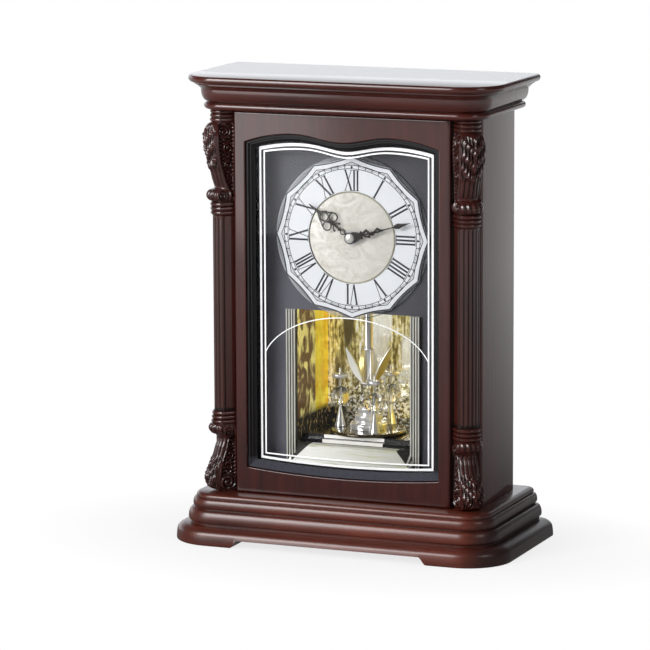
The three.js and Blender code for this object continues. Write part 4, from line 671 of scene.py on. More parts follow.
BASE = (129.0, -63.0, 63.0, 33.0)
CROWN = (120.1, -52.0, 55.4, 30.0)
middle = board("middle_moulding", [
    [(10.6, 12.9), (10.6, 14.1)], arc((10.6, 14.1), (8.9, 16.6), True),
    arc((8.9, 16.6), (12.2, 23.5), False), [(11.9, 23.6)]], *BASE)
dress(middle, wood_base, "case", "base_middle_moulding")
upper = board("upper_moulding", [
    [(13.7, 23.7), (13.7, 24.3)], arc((13.7, 24.3), (12.4, 26.6), True),
    arc((12.4, 26.6), (14.6, 31.4), False), [(15.6, 31.5), (15.6, 32.1), (15.0, 32.2)],
    arc((15.0, 32.5), (18.2, 35.2), False), [(18.6, 35.3)]], *BASE)
dress(upper, wood_base, "case", "base_top_moulding")
cornice = board("cornice", [
    [(14.1, 315.0)], arc((14.1, 315.0), (11.1, 317.7), True), arc((11.1, 317.7), (13.6, 320.2), False),
    [(13.9, 320.3), (13.7, 320.7)], arc((9.0, 328.9), (13.6, 320.7), False)[::-1],
    [(9.0, 328.9), (9.0, 329.9)]], *CROWN)
dress(cornice, wood_along, "case", "cornice_moulding")
top = board("nosed_top", [
    [(8.8, 330.0), (5.4, 333.1), (4.4, 333.3), (4.4, 334.2)], arc((4.4, 334.2), (0.0, 337.4), True),
    arc((0.0, 337.4), (1.6, 339.9), False), [(2.2, 340.0)]], *CROWN)
dress(top, wood_along, "case", "top_board")
print("mouldings carried round outlines of", outline(*BASE, [0]).shape[1], "points")

# %% [markdown]
# The side panels are plain boards. Their front corner is cut back so that the column fits in, and
# both upright edges are eased, since a sharp lacquered edge would chip.

# %% Side panels
BODY_FOOT, BODY_HEAD = 35.4, 314.9


def side_board(name, side):
    """Upright board: its outline from above is carried up. The front corner is cut back to the column."""
    quarter = np.linspace(0, np.pi / 2, 6)
    nose = [(101.9 + 1.6 * math.cos(t), -20.9 - 1.6 * math.sin(t)) for t in quarter]
    rear = [(102.5 + math.cos(t), 44.0 + math.sin(t)) for t in quarter[::-1]]
    flat = np.array([(95.5, 45.0)] + rear + nose + [(101.0, -22.5), (95.5, -17.0)])
    z = np.array([BODY_FOOT, 36.0, 120.0, 220.0, 314.3, BODY_HEAD])
    points = np.array([[(side * x, y, h) for x, y in flat] for h in z])
    return skin(name, points, crease=30)


for side, hand in ((-1, "left"), (1, "right")):
    dress(side_board(f"{hand}_side_board", side), wood_up, "case", f"{hand}_side_panel")
print("side panels stand from z =", BODY_FOOT, "to", BODY_HEAD)

# %% [markdown]
# The bottom board has a gap routed under its front, which leaves a broad foot at each end. The
# gap's end is an ogee. It is cheaper to shape the board's underside as a height that depends on
# x than to cut it, so the lowest rings rise where the gap is.

# %% Bottom board
GAP_HALF, OGEE, GAP_HIGH = 76.0, 6.0, 5.7


def unit(value):
    """A value cut off below 0 and above 1."""
    return np.clip(value, 0, 1)


def foot_gap(x):
    """Height of the underside: 0 on the feet and 5.7 mm in the gap, with a smooth ogee between."""
    t = unit((GAP_HALF - np.abs(x)) / OGEE)
    return GAP_HIGH * t * t * (3 - 2 * t)


def bottom_board():
    """The board's outline, with extra points along its straight front and back for the ogees."""
    profile = np.concatenate([
        [(60.0, 0.0), (30.0, 0.0), (0.9, 0.0)], arc((0.9, 0.0), (0.0, 0.9), True, 4),
        [(0.0, 2.4), (0.15, 4.4)], arc((0.45, 6.6), (9.0, 12.7), False), [(9.3, 12.8)]])
    across = np.concatenate([np.linspace(-96, -78, 5), np.linspace(-76, -70, 14), np.linspace(-58, 58, 9),
                             np.linspace(70, 76, 14), np.linspace(78, 96, 5)])
    runs = []
    for row in outline(*BASE, profile[:, 0]):
        right_back, left_back, left_front, right_front = np.split(row, [5, 10, 28])
        front_x = np.clip(across, left_front[-1][0], right_front[0][0])
        rear_x = np.clip(across[::-1], left_back[0][0], right_back[-1][0])
        front = np.stack([front_x, 0 * across + left_front[-1][1]], axis=1)
        rear = np.stack([rear_x, 0 * across + BASE[2]], axis=1)
        runs.append(np.concatenate([right_back, rear, left_back, left_front, front, right_front]))
    flat = np.array(runs)
    z = np.repeat(profile[:, 1, None], flat.shape[1], axis=1)
    z = np.where(z < 6.5, np.maximum(z, foot_gap(flat[..., 0]) + 0.02 * (z > 0)), z)
    return skin("bottom_board", np.concatenate([flat, z[..., None]], axis=-1), crease=32)


dress(bottom_board(), wood_base, "case", "base_bottom_board")
print("foot gap height at the middle:", float(foot_gap(0)), "mm")

# %% [markdown]
# The corner columns stand on the diagonal. Each is a stack of carved forms: a scrolled foot, a
# reeded shaft and a leafy capital that bulges like a console. One section, flat at its sides
# and crowned in front, changes size with height. Rings are half-round bumps added to its reach.
# The flank that faces the window is carved as well, and the other one lies against the case.

# %% Column section
AXIS = np.array([96.6, -29.8])
FLANK_BACK = 8.6


def beads(z, rows):
    """Sum of half-round rings. Each row is centre, half height and rise, in mm."""
    total = np.zeros_like(z)
    for centre, half, rise in rows:
        total = total + rise * np.sqrt(unit(1 - ((z - centre) / half) ** 2))
    return total


CAPITAL_RINGS = [(240.0, 1.5), (243.1, 1.5), (246.2, 1.5), (307.6, 1.4), (310.6, 1.4), (313.5, 1.3)]
FOOT_RINGS = [(86.9, 1.5), (90.0, 1.5), (93.1, 1.5)]


def risen(rings, *rises):
    """Rings of known centre and half height with the rise of each one added."""
    return [(*ring, rise) for ring, rise in zip(rings, rises)]


def ring_gaps(z):
    """1 in the hollows between the turned rings, which the finish paints dark as shade, and 0 on a ring's
    crown or away from rings.
    """
    share = beads(z, [(*ring, 1.0) for ring in CAPITAL_RINGS + FOOT_RINGS])
    near = beads(z, [(91.0, 6.0, 1.0), (243.1, 5.2, 1.0), (310.6, 4.6, 1.0)])
    return unit(0.9 - 1.5 * share) * (near > 0.2)


def column_skin(name, side, z, shape, carve_front, carve_flank, around=45, deep=30):
    """Grid of a column piece. Each row starts at the back of the outer flank, runs round the crowned front
    and ends at the back of the inner flank. shape(z) gives reach, width share and reed share. The carvings
    give a relief in mm and a hollow from 0 to 1: the front's by s from -1 to 1, the flank's by depth y."""
    z = np.asarray(z, float)[:, None]
    reach, width, reed = shape(z)
    crown = 3.8 * np.minimum(width, 1.05)
    edge = crown - reach
    slim = 8 * np.minimum(width, 1.0)
    free = unit((-2.4 - edge) / 0.6)
    outer = slim + (8 * width - slim) * free
    s = np.linspace(1, -1, around)[None, :]
    relief, hollow = carve_front(z, s)
    groove = reed * 0.9 * (1 - np.abs(np.sin(5.5 * np.pi * (s + 1) / 2)) ** 0.6)
    front_x = np.where(s > 0, outer, 8 * width) * s
    front = np.stack([front_x, edge - crown * (1 - s ** 2) + groove - relief], axis=-1)
    inner_y = edge + (FLANK_BACK - edge) * np.linspace(0, 1, deep + 1)[None, 1:]
    flank_relief, flank_hollow = carve_flank(z, inner_y)
    flank = np.stack([-8 * width - flank_relief, inner_y], axis=-1)
    shoulder = np.maximum(edge, -2.2)

    def pair(x_one, y_one, x_two, y_two):
        """Two points of every row, side by side."""
        return np.stack([np.hstack([x_one, x_two]), np.hstack([y_one, y_two])], axis=-1)

    at_back = np.full_like(z, 9.0)
    start = pair(slim, at_back, slim, shoulder + 0.1)
    lead = pair(outer, np.maximum(edge, -2.4), outer, edge + 0.01)
    end = pair(-slim, np.full_like(z, FLANK_BACK + 0.05), -slim, at_back)
    local = np.concatenate([start, lead, front, flank, end], axis=1)
    zero = np.zeros((len(z), 2))
    # Painted shade: the carving's hollows, the reed grooves and the gaps between rings are marked, and the
    # finish paints them near black.
    gaps = ring_gaps(z)
    front_painted_shade = np.maximum(hollow + 1.3 * groove, gaps)
    marks = np.hstack([zero, zero, front_painted_shade, np.maximum(flank_hollow, gaps), zero])
    c = math.sqrt(0.5)
    x = side * (AXIS[0] + c * local[..., 0] - c * local[..., 1])
    y = AXIS[1] + c * local[..., 0] + c * local[..., 1]
    points = np.stack([x, y, np.repeat(z, local.shape[1], axis=1)], axis=-1)
    return skin(name, points, crease=55, hollow=unit(marks))


def through(knots):
    """Smooth curve through (z, value) knots: a cubic written with Hermite weights. The slope at a knot is
    the harmonic mean of its two neighbours', or 0 at a turning point, so the curve never overshoots."""
    at, value = np.array(knots, float).T
    rise = np.diff(value) / np.diff(at)
    before, after = rise[:-1], rise[1:]
    same = before * after > 0
    middle_slope = np.where(same, 2 * before * after / np.where(same, before + after, 1), 0)
    slope = np.concatenate([[rise[0]], middle_slope, [rise[-1]]])

    def curve(z):
        """Value at the heights z, held level beyond both ends."""
        i = np.clip(np.searchsorted(at, z) - 1, 0, len(at) - 2)
        gap = at[i + 1] - at[i]
        t = unit((z - at[i]) / gap)
        return ((1 + 2 * t) * (1 - t) ** 2 * value[i] + t * (1 - t) ** 2 * gap * slope[i]
                + t * t * (3 - 2 * t) * value[i + 1] + t * t * (t - 1) * gap * slope[i + 1])
    return curve


print("section check, reach of one 2 mm ring:", float(beads(np.array([1.0]), [(1, 1, 2)])[0]))

# %% [markdown]
# Carving is relief: a height added to the surface. Leaf lobes come from a wave whose phase bends
# away from the middle vein, so that each crest sweeps up and out like a leaf's finger. A curl is
# a wave of the distance from its centre less a turn of the angle, which winds it to a spiral.

# %% Leaf, curl and knob
def window_of(value, low, high, soft):
    """1 between low and high, 0 outside, with a slope of the given width inside each end."""
    return unit((value - low) / soft) * unit((high - value) / soft)


def leaf(z, s, low, high, lobes):
    """Leaf between two heights: fingers bent by |s|, finer veins along them, and a raised middle vein.
    Returns the relief and the hollow between the fingers."""
    v = (z - low) / (high - low)
    inside = window_of(v, 0, 1, 0.12)
    phase = lobes * v - 1.1 * np.abs(s)
    fingers = np.cos(2 * np.pi * phase)
    veins = np.cos(2 * np.pi * (3.9 * s * np.sign(s) + 1.4 * v + 0.3 * np.sin(2 * np.pi * phase)))
    middle_vein = np.exp(-(s / 0.10) ** 2)
    chips = (np.cos(2 * np.pi * (0.40 * z + 2.2 * np.abs(s)))
             * np.cos(2 * np.pi * (0.37 * z - 1.9 * np.abs(s))))
    relief = inside * (0.5 * fingers + 0.35 * veins + 0.45 * chips + 0.8 * middle_vein - 0.1)
    return relief, inside * unit(0.25 - 0.7 * fingers - 0.5 * veins - 0.6 * chips - middle_vein)


def curl(y, z, at_y, at_z, radius, pitch, hand=1):
    """Spiral ridge about a point, from 0 to 1, fading at its radius."""
    distance, angle = np.hypot(y - at_y, z - at_z), np.arctan2(z - at_z, y - at_y)
    ridge = 0.5 + 0.5 * np.cos(2 * np.pi * distance / pitch - hand * angle)
    return ridge, unit((radius - distance) / 0.7)


def bumps(s, z, places, size):
    """Round knobs at (s, z) places; s is stretched to mm first."""
    total = 0
    for at_s, at_z in places:
        total = total + np.exp(-(((s - at_s) * 8) ** 2 + (z - at_z) ** 2) / size ** 2)
    return total


def carved_field(y, z, curls, slant):
    """Height from 0 to 1 of a field of slanting ribs with curls laid over it."""
    field = 0.8 * (0.5 + 0.5 * np.cos(2 * np.pi * (0.36 * z + 1.6 * slant * y + 0.22 * np.sin(1.9 * y))))
    for place in curls:
        ridge, weight = curl(y, z, *place)
        field = field * (1 - weight) + ridge * weight
    return field


SHAFT_FOOT, SHAFT_HEAD = 95.0, 238.0
GROUND_DEPTH = 1.9
capital_body = through([
    (238, 4.1), (248, 4.4), (256.6, 4.0), (258.2, 2.0), (260.5, 2.9), (265, 4.3), (270, 5.5),
    (277.6, 7.3), (285, 9.1), (294, 10.0), (300, 9.1), (304.4, 7.0), (306.2, 4.2), (315, 3.9)])
capital_width = through([
    (238, 0.98), (247, 1.0), (253, 1.10), (257.5, 1.02), (270, 1.04), (285, 1.15), (294, 1.19),
    (302, 1.12), (306, 1.0), (315, 0.97)])
capital_band = through([
    (246, 9.6), (249.7, 8.3), (255.6, 6.3), (262.9, 3.2), (270.2, 0.9), (277.6, -1.1), (292.2, -2.7),
    (305.4, -3.0)])
capital_rings = risen(CAPITAL_RINGS, 1.3, 1.3, 1.3, 1.4, 1.4, 1.3) + [(252.8, 4.4, 3.8)]
capital_side_rings = risen(CAPITAL_RINGS, 1.0, 1.0, 1.0, 1.0, 1.0, 0.9)
foot_body = through([
    (35.4, 1.2), (36.6, 6.3), (39.3, 9.6), (45.2, 11.5), (52.8, 9.0), (60.5, 6.0), (68.1, 3.6),
    (74.4, 1.7), (77, 3.4), (84.5, 4.6), (95, 4.0)])
foot_width = through([
    (35.4, 0.94), (40, 1.02), (46, 1.06), (60, 1.0), (75, 0.94), (81, 1.08), (87, 1.02), (95, 0.98)])
foot_band = through([
    (35.4, -3.2), (43.2, -3.0), (50.5, -2.3), (57.8, -0.7), (65.1, 2.0), (75.4, 4.8), (78, 6.0)])
foot_rings = [(81.3, 4.2, 3.6)] + risen(FOOT_RINGS, 1.9, 1.7, 1.5)
foot_side_rings = risen(FOOT_RINGS, 1.1, 1.1, 1.1)
print("capital bulges to", float(capital_body(np.array([294.0]))[0]), "mm")

# %% [markdown]
# The front and the flank of a column each get their own carving. On the front a leaf lies over
# the swelling. On the flank a band follows the front's outline, and behind it the ground is cut
# away and filled with curls.

# %% Reliefs of the column pieces
def knobbed_roll(z, along, centre, half, rise, pitch):
    """Half-round roll with small knobs in a row along it."""
    roll = np.sqrt(unit(1 - ((z - centre) / half) ** 2))
    knobs = np.cos(2 * np.pi * along / pitch)
    return roll * (rise + 0.55 * knobs), roll * unit(-knobs) * 0.7


def carved_front(leaf_form, roll, knobs):
    """Carving of a front: a leaf, a knobbed roll and groups of round knobs, fading at both edges."""
    def carve(z, s):
        """Relief and hollow at the heights z and the places s across, fading out to both sides."""
        relief, hollow = leaf(z, s, *leaf_form)
        knobbed, gaps = knobbed_roll(z, 8 * s, *roll, 0.0, 3.4)
        relief = relief + knobbed
        for rise, size, places in knobs:
            relief = relief + rise * bumps(s, z, places, size)
        fade = unit((1 - np.abs(s)) / 0.06)
        return relief * fade, np.maximum(hollow, gaps) * fade
    return carve


capital_front = carved_front((271, 305.5, 3.4), (252.8, 4.2), [
    (1.3, 2.0, [(-0.62, 274.5), (0.0, 272.8), (0.62, 274.5)]),
    (0.6, 1.6, [(-0.5, 286), (0.5, 286), (-0.45, 297), (0.45, 297)])])
foot_front = carved_front((36.5, 62, 2.8), (81.3, 4.0), [
    (0.6, 1.5, [(-0.5, 45), (0.5, 45), (-0.45, 54), (0.45, 54)])])


def cut_ground(y, z, line, low, high):
    """1 where the ground behind the band is cut away, and 0 on the band, at the wall and at both ends."""
    return unit((y - line) / 0.7) * window_of(z, low, high, 1.6) * unit((8.5 - y) / 0.5)


def band_rim(y, z, line, low, high):
    """Low ridge that edges the band."""
    return 0.45 * np.exp(-((y - line + 0.8) / 0.6) ** 2) * window_of(z, low, high, 3)


def edge_fade(y):
    """Holds the band's carving back at the flank's front edge; it is in full from 0.3 mm behind it."""
    return unit((y - (y[:, :1] - 0.5)) / 0.8)


def curled_roll(y, z, roll, place):
    """Lays a curl over a roll. Gives the roll and the curl's hollows."""
    ridge, weight = curl(y, z, *place)
    return roll * (1 - weight) + weight * (0.8 + 0.9 * ridge), weight * (1 - ridge)


def capital_flank(z, y):
    """Inner flank of the capital: rings, a roll that ends in a curl, the band and four curls behind it."""
    line = capital_band(z)
    ground = cut_ground(y, z, line, 249.5, 305.8)
    field = carved_field(y, z, [(1.6, 299.2, 5.2, 2.3), (4.6, 287.0, 4.4, 2.1, -1), (5.0, 275.0, 3.4, 1.9),
                                (6.6, 265.5, 2.4, 1.8)], 0.10)
    fluting = 0.14 * np.cos(2 * np.pi * (y - line) / 2.1) * (y < line - 1.2) * window_of(z, 258, 300, 4)
    roll, gaps = knobbed_roll(z, y, 252.8, 4.3, 1.1, 3.0)
    roll, curl_hollow = curled_roll(y, z, roll, (-0.7, 252.8, 3.9, 2.1))
    side = beads(z, capital_side_rings) + roll * (y < line + 2)
    band = (band_rim(y, z, line, 257, 304) + fluting) * edge_fade(y)
    relief = side + band - GROUND_DEPTH * ground * (1 - 0.85 * field)
    return relief, unit(ground * (1.0 - 1.7 * field) + curl_hollow * 0.8 + gaps * 0.5)


def foot_flank(z, y):
    """Inner flank of the foot: rings, a tilted roll, the reeded band and a large scroll at the bottom."""
    line = foot_band(z)
    ground = cut_ground(y, z, line, 36.5, 77.5)
    field = carved_field(y, z, [(5.4, 70.5, 2.8, 1.9), (4.8, 62.5, 3.4, 2.0, -1), (3.6, 53.5, 3.6, 2.1)],
                         -0.12)
    ridge, weight = curl(y, z, 2.5, 42.2, 6.6, 3.1)
    reeds = 0.45 * np.cos(2 * np.pi * (y - line) / 2.6) * (y < line - 0.6) * window_of(z, 56, 77, 3)
    tilted = z + 0.30 * (y + 4)
    roll, gaps = knobbed_roll(tilted, y, 81.3, 4.2, 1.1, 3.0)
    roll, end_hollow = curled_roll(y, z, roll, (3.4, 79.0, 3.8, 2.1))
    band = (band_rim(y, z, line, 44, 75) + reeds) * edge_fade(y)
    sunk = GROUND_DEPTH * ground * (1 - 0.85 * field) * (1 - weight)
    relief = beads(z, foot_side_rings) + roll + band - sunk + weight * ground * (1.3 * ridge - 0.5)
    hollow = ground * (1 - weight) * (1.0 - 1.7 * field) + weight * ground * (0.9 - 1.3 * ridge)
    return relief, unit(hollow + end_hollow * 0.7 + gaps * 0.5)


def plain_front(z, s):
    """No carving."""
    return 0 * (z + s), 0 * (z + s)


def reeded_flank(z, y):
    """Two reeds near the front edge of the shaft's inner flank and a flat field behind them."""
    fade = window_of(z, 95.2, 237.8, 1.2)
    near_edge = y < 3.2
    relief = fade * near_edge * -0.5 * (1 - np.abs(np.cos(np.pi * (y + 0.4) / 3.6)) ** 0.6)
    return relief, unit(-relief * 1.4)


print("ground of the flanks is cut", GROUND_DEPTH, "mm deep")

# %% [markdown]
# A piece's levels lie closer together over its rings, where the section changes fast. Each
# piece's shape gives the section's reach, width and reeds at a height, and the same functions
# serve the left and the right column.

# %% Capital, shaft and foot
def levels(low, high, count, rings):
    """Heights from low to high, closer together over the rings."""
    own = [np.linspace(c - h * 0.98, c + h * 0.98, 9) for c, h, _ in rings]
    every = np.concatenate([np.linspace(low, high, count)] + own)
    return np.unique(np.clip(np.round(every, 3), low, high))


def capital_shape(z):
    """Reach, width and reeds of the capital at a height."""
    reeds = unit((z - 258.5) / 2) * unit((276 - z) / 5)
    return capital_body(z) + beads(z, capital_rings), capital_width(z), reeds


def shaft_shape(z):
    """The shaft keeps one size; its reeds run out at both ends."""
    reeds = 0.1 + 0.9 * unit((z - 95.4) / 1.5) * unit((237.6 - z) / 1.5)
    return 3.85 + 0 * z, 1 + 0 * z, reeds


def foot_shape(z):
    """Reach, width and reeds of the foot at a height."""
    reeds = unit((z - 58) / 4) * unit((76 - z) / 2)
    return foot_body(z) + beads(z, foot_rings), foot_width(z), reeds


capital_levels = levels(SHAFT_HEAD, BODY_HEAD, 140, capital_rings)
shaft_levels = np.concatenate([[95.1, 95.6, 96.4], np.linspace(98, 235, 12), [236.6, 237.4, 237.9]])
foot_levels = levels(BODY_FOOT, SHAFT_FOOT, 120, foot_rings)
for side, hand in ((-1, "left"), (1, "right")):
    capital = column_skin(f"{hand}_capital", side, capital_levels, capital_shape, capital_front,
                          capital_flank, around=61, deep=40)
    dress(capital, wood_carved, "case", f"{hand}_column_capital")
    shaft = column_skin(f"{hand}_shaft", side, shaft_levels, shaft_shape, plain_front, reeded_flank,
                        around=91)
    dress(shaft, wood_carved, "case", f"{hand}_column_shaft")
    foot = column_skin(f"{hand}_foot", side, foot_levels, foot_shape, foot_front, foot_flank,
                       around=61, deep=40)
    dress(foot, wood_carved, "case", f"{hand}_column_foot")

# %% [markdown]
# The front frame is one board with a window sawn in it: a double bow at the top and a gentle
# sag at the bottom. Its edges are softened by sanding. The surface here is a band between the
# outer edge and the window's edge, carried through a section that rounds both. One more loop lies
# just inside each rounded edge, so that smooth shading stops there and the face stays flat. The
# bezel's section has steps at the sides and top, and slopes like a sill along the bottom.

# %% Window outline, frame and bezel
WINDOW_HALF, FRAME_HALF = 74.3, 83.2
FRAME_FACE, FRAME_REAR = -33.0, -21.0
FRAME_ROUNDING, WINDOW_ROUNDING = 2.0, 0.7


def loop_of(across, top_z, low_z, steps=50):
    """Closed outline from a top and a bottom run: (points, 2), clockwise from the top left corner."""
    half = across[-1]
    down = np.linspace(top_z[-1], low_z[-1], steps + 1)
    level = np.zeros_like(down) + half
    return np.concatenate([np.stack([across, top_z], axis=1)[:-1], np.stack([level, down], axis=1)[:-1],
                           np.stack([across, low_z], axis=1)[:0:-1], np.stack([-level, down], axis=1)[:0:-1]])


def bow(inset, steps=50):
    """Window outline drawn in by inset: at the top a cosine from the dip to the peaks and a parabola on to
    the corners, at the foot a parabola."""
    across = np.linspace(-1, 1, steps + 1) * (WINDOW_HALF - inset)
    share = np.abs(across) / WINDOW_HALF
    peak_at = 0.49
    top_z = np.where(share < peak_at, 294.4 + 2.4 * (1 - np.cos(np.pi * share / peak_at)),
                     299.2 - 6.8 * ((share - peak_at) / (1 - peak_at)) ** 2)
    return loop_of(across, top_z - inset, 54.6 - 3.8 * (1 - share ** 2) + inset, steps)


def frame_edge(inset, steps=50):
    """The frame's outer rectangle, with its corners at the same places as the window's."""
    across = np.linspace(-1, 1, steps + 1) * (FRAME_HALF - inset)
    return loop_of(across, 0 * across + BODY_HEAD - inset, 0 * across + BODY_FOOT + inset, steps)


def upright(flat, y):
    """Sets an outline of (x, z) points up at one depth."""
    return np.stack([flat[:, 0], np.zeros(len(flat)) + y, flat[:, 1]], axis=1)


def ring_of(name, loops, crease=40):
    """Closed frame from a list of (outline, y) loops, the last joined to the first."""
    points = np.array([upright(flat, y) for flat, y in loops] + [upright(*loops[0])])
    return skin(name, points, capped=False, crease=crease)


quarter = np.linspace(0, np.pi / 2, 7)
outer_curve = [(frame_edge(FRAME_ROUNDING * (1 - np.cos(t))), FRAME_FACE + FRAME_ROUNDING * (1 - np.sin(t)))
               for t in quarter]
window_curve = [(bow(-WINDOW_ROUNDING * (1 - np.sin(t))), FRAME_FACE + WINDOW_ROUNDING * (1 - np.cos(t)))
                for t in quarter]
front_frame = ring_of("front_frame_board", [
    (frame_edge(0), FRAME_REAR), *outer_curve, (frame_edge(2.5), FRAME_FACE), (bow(-1.1), FRAME_FACE),
    *window_curve, (bow(0), -31.2), (bow(0), FRAME_REAR)], crease=30)
dress(front_frame, wood_up, "case", "front_frame")

bezel_steps = [
    (0.3, -30.8), (0.5, -31.0), (1.8, -31.0), (2.0, -30.8), (2.0, -29.5), (2.2, -29.3), (3.5, -29.3),
    (3.7, -29.1), (3.7, -27.8), (3.9, -27.6), (5.4, -27.0), (5.6, -26.8), (5.6, -26.4), (3.1, -26.4),
    (3.1, FRAME_REAR), (0.3, FRAME_REAR)]
along_loop = np.arange(len(bow(0)))
on_sill = (along_loop >= 100) & (along_loop <= 150)
bezel_loops = []
for inset, y in bezel_steps:
    sloped = min(y, -26.6) if inset < 0.5 else np.interp(inset, [0.5, 5.6], [-31.0, -26.8])
    bezel_loops.append((bow(inset), y + (sloped - y) * on_sill * (y < -26.5)))
bezel = ring_of("stepped_bezel", bezel_loops, crease=25)
dress(bezel, bezel_black, "case", "glass_bezel")
print("window is", round(2 * WINDOW_HALF), "mm wide; bezel section has", len(bezel_steps), "points")

# %% [markdown]
# The back of the glass is printed: a black border next to the bezel, a double white line that
# follows the window, and a low arch over the chamber. Print has almost no thickness, so each
# line is a flat ribbon a twentieth of a millimetre thick.

# %% Printed lines
def ribbon(name, path, width, y, thick=0.05, closed=True):
    """Flat line along a path of (x, z) points: each point moves half the width both ways across the
    path."""
    ahead = np.roll(path, -1, axis=0) - np.roll(path, 1, axis=0)
    if not closed:
        ahead[0], ahead[-1] = path[1] - path[0], path[-1] - path[-2]
    ahead /= np.linalg.norm(ahead, axis=1, keepdims=True)
    across = np.stack([-ahead[:, 1], ahead[:, 0]], axis=1) * np.reshape(width, (-1, 1)) / 2
    inner, outer = path + across, path - across
    section = [(inner, y), (outer, y), (outer, y + thick), (inner, y + thick)]
    points = np.array([upright(flat, at) for flat, at in section]).transpose(1, 0, 2)
    if closed:
        points = np.concatenate([points, points[:1]])
    return skin(name, points, capped=not closed)


def print_edge(half, corner, peak, dip, low_corner, low_middle, bowed=0.53, steps=60):
    """Edge of a printed line, given by its own heights; the dip at the middle is a little pointed."""
    across = np.linspace(-1, 1, steps + 1) * half
    share = np.abs(across) / half
    rise = 0.5 - 0.5 * np.cos(np.pi * (share / bowed) ** 0.85)
    top_z = np.where(share < bowed, dip + (peak - dip) * rise,
                     peak - (peak - corner) * ((share - bowed) / (1 - bowed)) ** 2)
    return loop_of(across, top_z, low_middle + (low_corner - low_middle) * share ** 2, steps)


def flat_frame(name, outer, inner, y, thick=0.05):
    """Flat band between two outlines with as many points."""
    return ring_of(name, [(outer, y), (inner, y), (inner, y + thick), (outer, y + thick)])


glass_back = span("front_glass", "y")[1]
outer_lip, outer_in, inner_lip, inner_in = [print_edge(*heights) for heights in (
    (67.0, 288.2, 292.0, 287.2, 60.1, 57.3), (65.5, 286.0, 289.8, 285.0, 61.8, 58.9),
    (63.7, 285.6, 288.4, 283.5, 63.4, 62.0), (62.6, 284.4, 287.2, 282.3, 64.4, 63.0))]
angle = np.linspace(np.pi - 0.285, 0.285, 80)
arch = np.stack([66.0 * np.cos(angle), 127.0 + 40.0 * np.sin(angle)], axis=1)
lines = [flat_frame("outer", outer_lip, outer_in, glass_back),
         flat_frame("inner", inner_lip, inner_in, glass_back),
         ribbon("arch", arch, 0.75, glass_back, closed=False)]
dress(join("printed_lines", lines), print_white, "case")
border = flat_frame("printed_border", bow(3.6, 60), outer_lip, glass_back)
dress(border, black_print, "case")
print("print lies at y =", round(glass_back, 2), "mm")

# %% [markdown]
# The dial is a twelve-pointed plate with hollow sides and a bevelled rim, on a round clear disc.
# Its figures are Roman. Each figure is a few tapered strokes with thin serifs, turned to face
# the centre, which is simpler and cleaner than a font.

# %% Dial plate, disc and pearl
BORE = 4.2
dial_front, dial_back = span("dial_plate", "y")


def star(radius, hollow=1.1, steps=12):
    """Twelve points on a circle. Between them runs a chord, drawn in by a half sine."""
    t = np.arange(12 * steps) / (12 * steps) * 2 * np.pi
    within = (np.arange(12 * steps) % steps) / steps
    half = np.pi / 12
    r = radius * np.cos(half) / np.cos((within * 2 - 1) * half) - hollow * np.sin(np.pi * within)
    return np.stack([r * np.sin(t), CENTRE + r * np.cos(t)], axis=1)


plate_loops = [(star(BORE, 0), dial_back), (star(58.9), dial_back), (star(59.2), dial_back - 0.3),
               (star(59.2), dial_front + 0.7), (star(57.7), dial_front + 0.05), (star(55.4), dial_front),
               (star(BORE, 0), dial_front)]
dial = ring_of("dial", plate_loops, crease=18)
dress(dial, dial_white, "case", "dial_plate")


def on_axis(name, profile, sides=48, crease=30, capped=True):
    """Revolves (radius, y) pairs about the dial's axis."""
    return lathe(name, profile, (0, 0, CENTRE), "Y", sides, crease, capped)


def flat_ring(name, inner, outer, front, rear, edge=0.15, sides=96):
    """Thin ring on the dial's axis with softened edges."""
    profile = [(inner, rear), (outer - edge, rear), (outer, rear - edge), (outer, front + edge),
               (outer - edge, front), (inner + edge, front), (inner, front + edge), (inner, rear)]
    return on_axis(name, profile, sides, crease=30, capped=False)


dress(flat_ring("clear_disc", BORE, 59.4, *span("dial_backing", "y"), 0.3), acrylic, "case", "dial_backing")
dress(flat_ring("pearl_face", BORE, 32.4, *span("pearl_disc", "y")), pearl, "case", "pearl_disc")
rim_front, rim_rear = span("pearl_ring", "y")
rim_profile = [(32.0, rim_rear), (33.6, rim_rear), (33.6, rim_rear - 0.2), (32.9, rim_front),
               (32.2, rim_rear - 0.3), (32.0, rim_rear)]
dress(on_axis("pearl_rim", rim_profile, 96, crease=20, capped=False), gold, "case", "pearl_ring")
print("dial face at y =", round(dial_front, 2), "mm, pearl rim at", round(rim_front, 2), "mm")

# %% [markdown]
# A figure is drawn upright at the origin, narrowed where it would crowd its neighbours, and then
# turned to its hour. Two thin rings and sixty ticks make the minute rail, with a dot on each hour.

# %% Figures and minute rail
def stroke(a, b, width_a, width_b, y, thick=0.05):
    """Eight corners of a thin tapered bar from a to b, both (x, z)."""
    a, b = np.array(a, float), np.array(b, float)
    ahead = (b - a) / np.linalg.norm(b - a)
    across = np.array([-ahead[1], ahead[0]])
    near, far = across * width_a / 2, across * width_b / 2
    flat = np.array([a + near, b + far, b - far, a - near])
    return np.concatenate([upright(flat, y), upright(flat, y + thick)])


BOX = [[0, 1, 2, 3], [7, 6, 5, 4], [0, 4, 5, 1], [1, 5, 6, 2], [2, 6, 7, 3], [3, 7, 4, 0]]


def bars(name, corners):
    """One mesh of many eight-cornered bars."""
    faces = [[i + 8 * k for i in face] for k in range(len(corners)) for face in BOX]
    return mesh_object(name, np.concatenate(corners), faces, crease=10)


FIGURE_WIDTHS = {"I": 2.7, "V": 6.6, "X": 6.6}


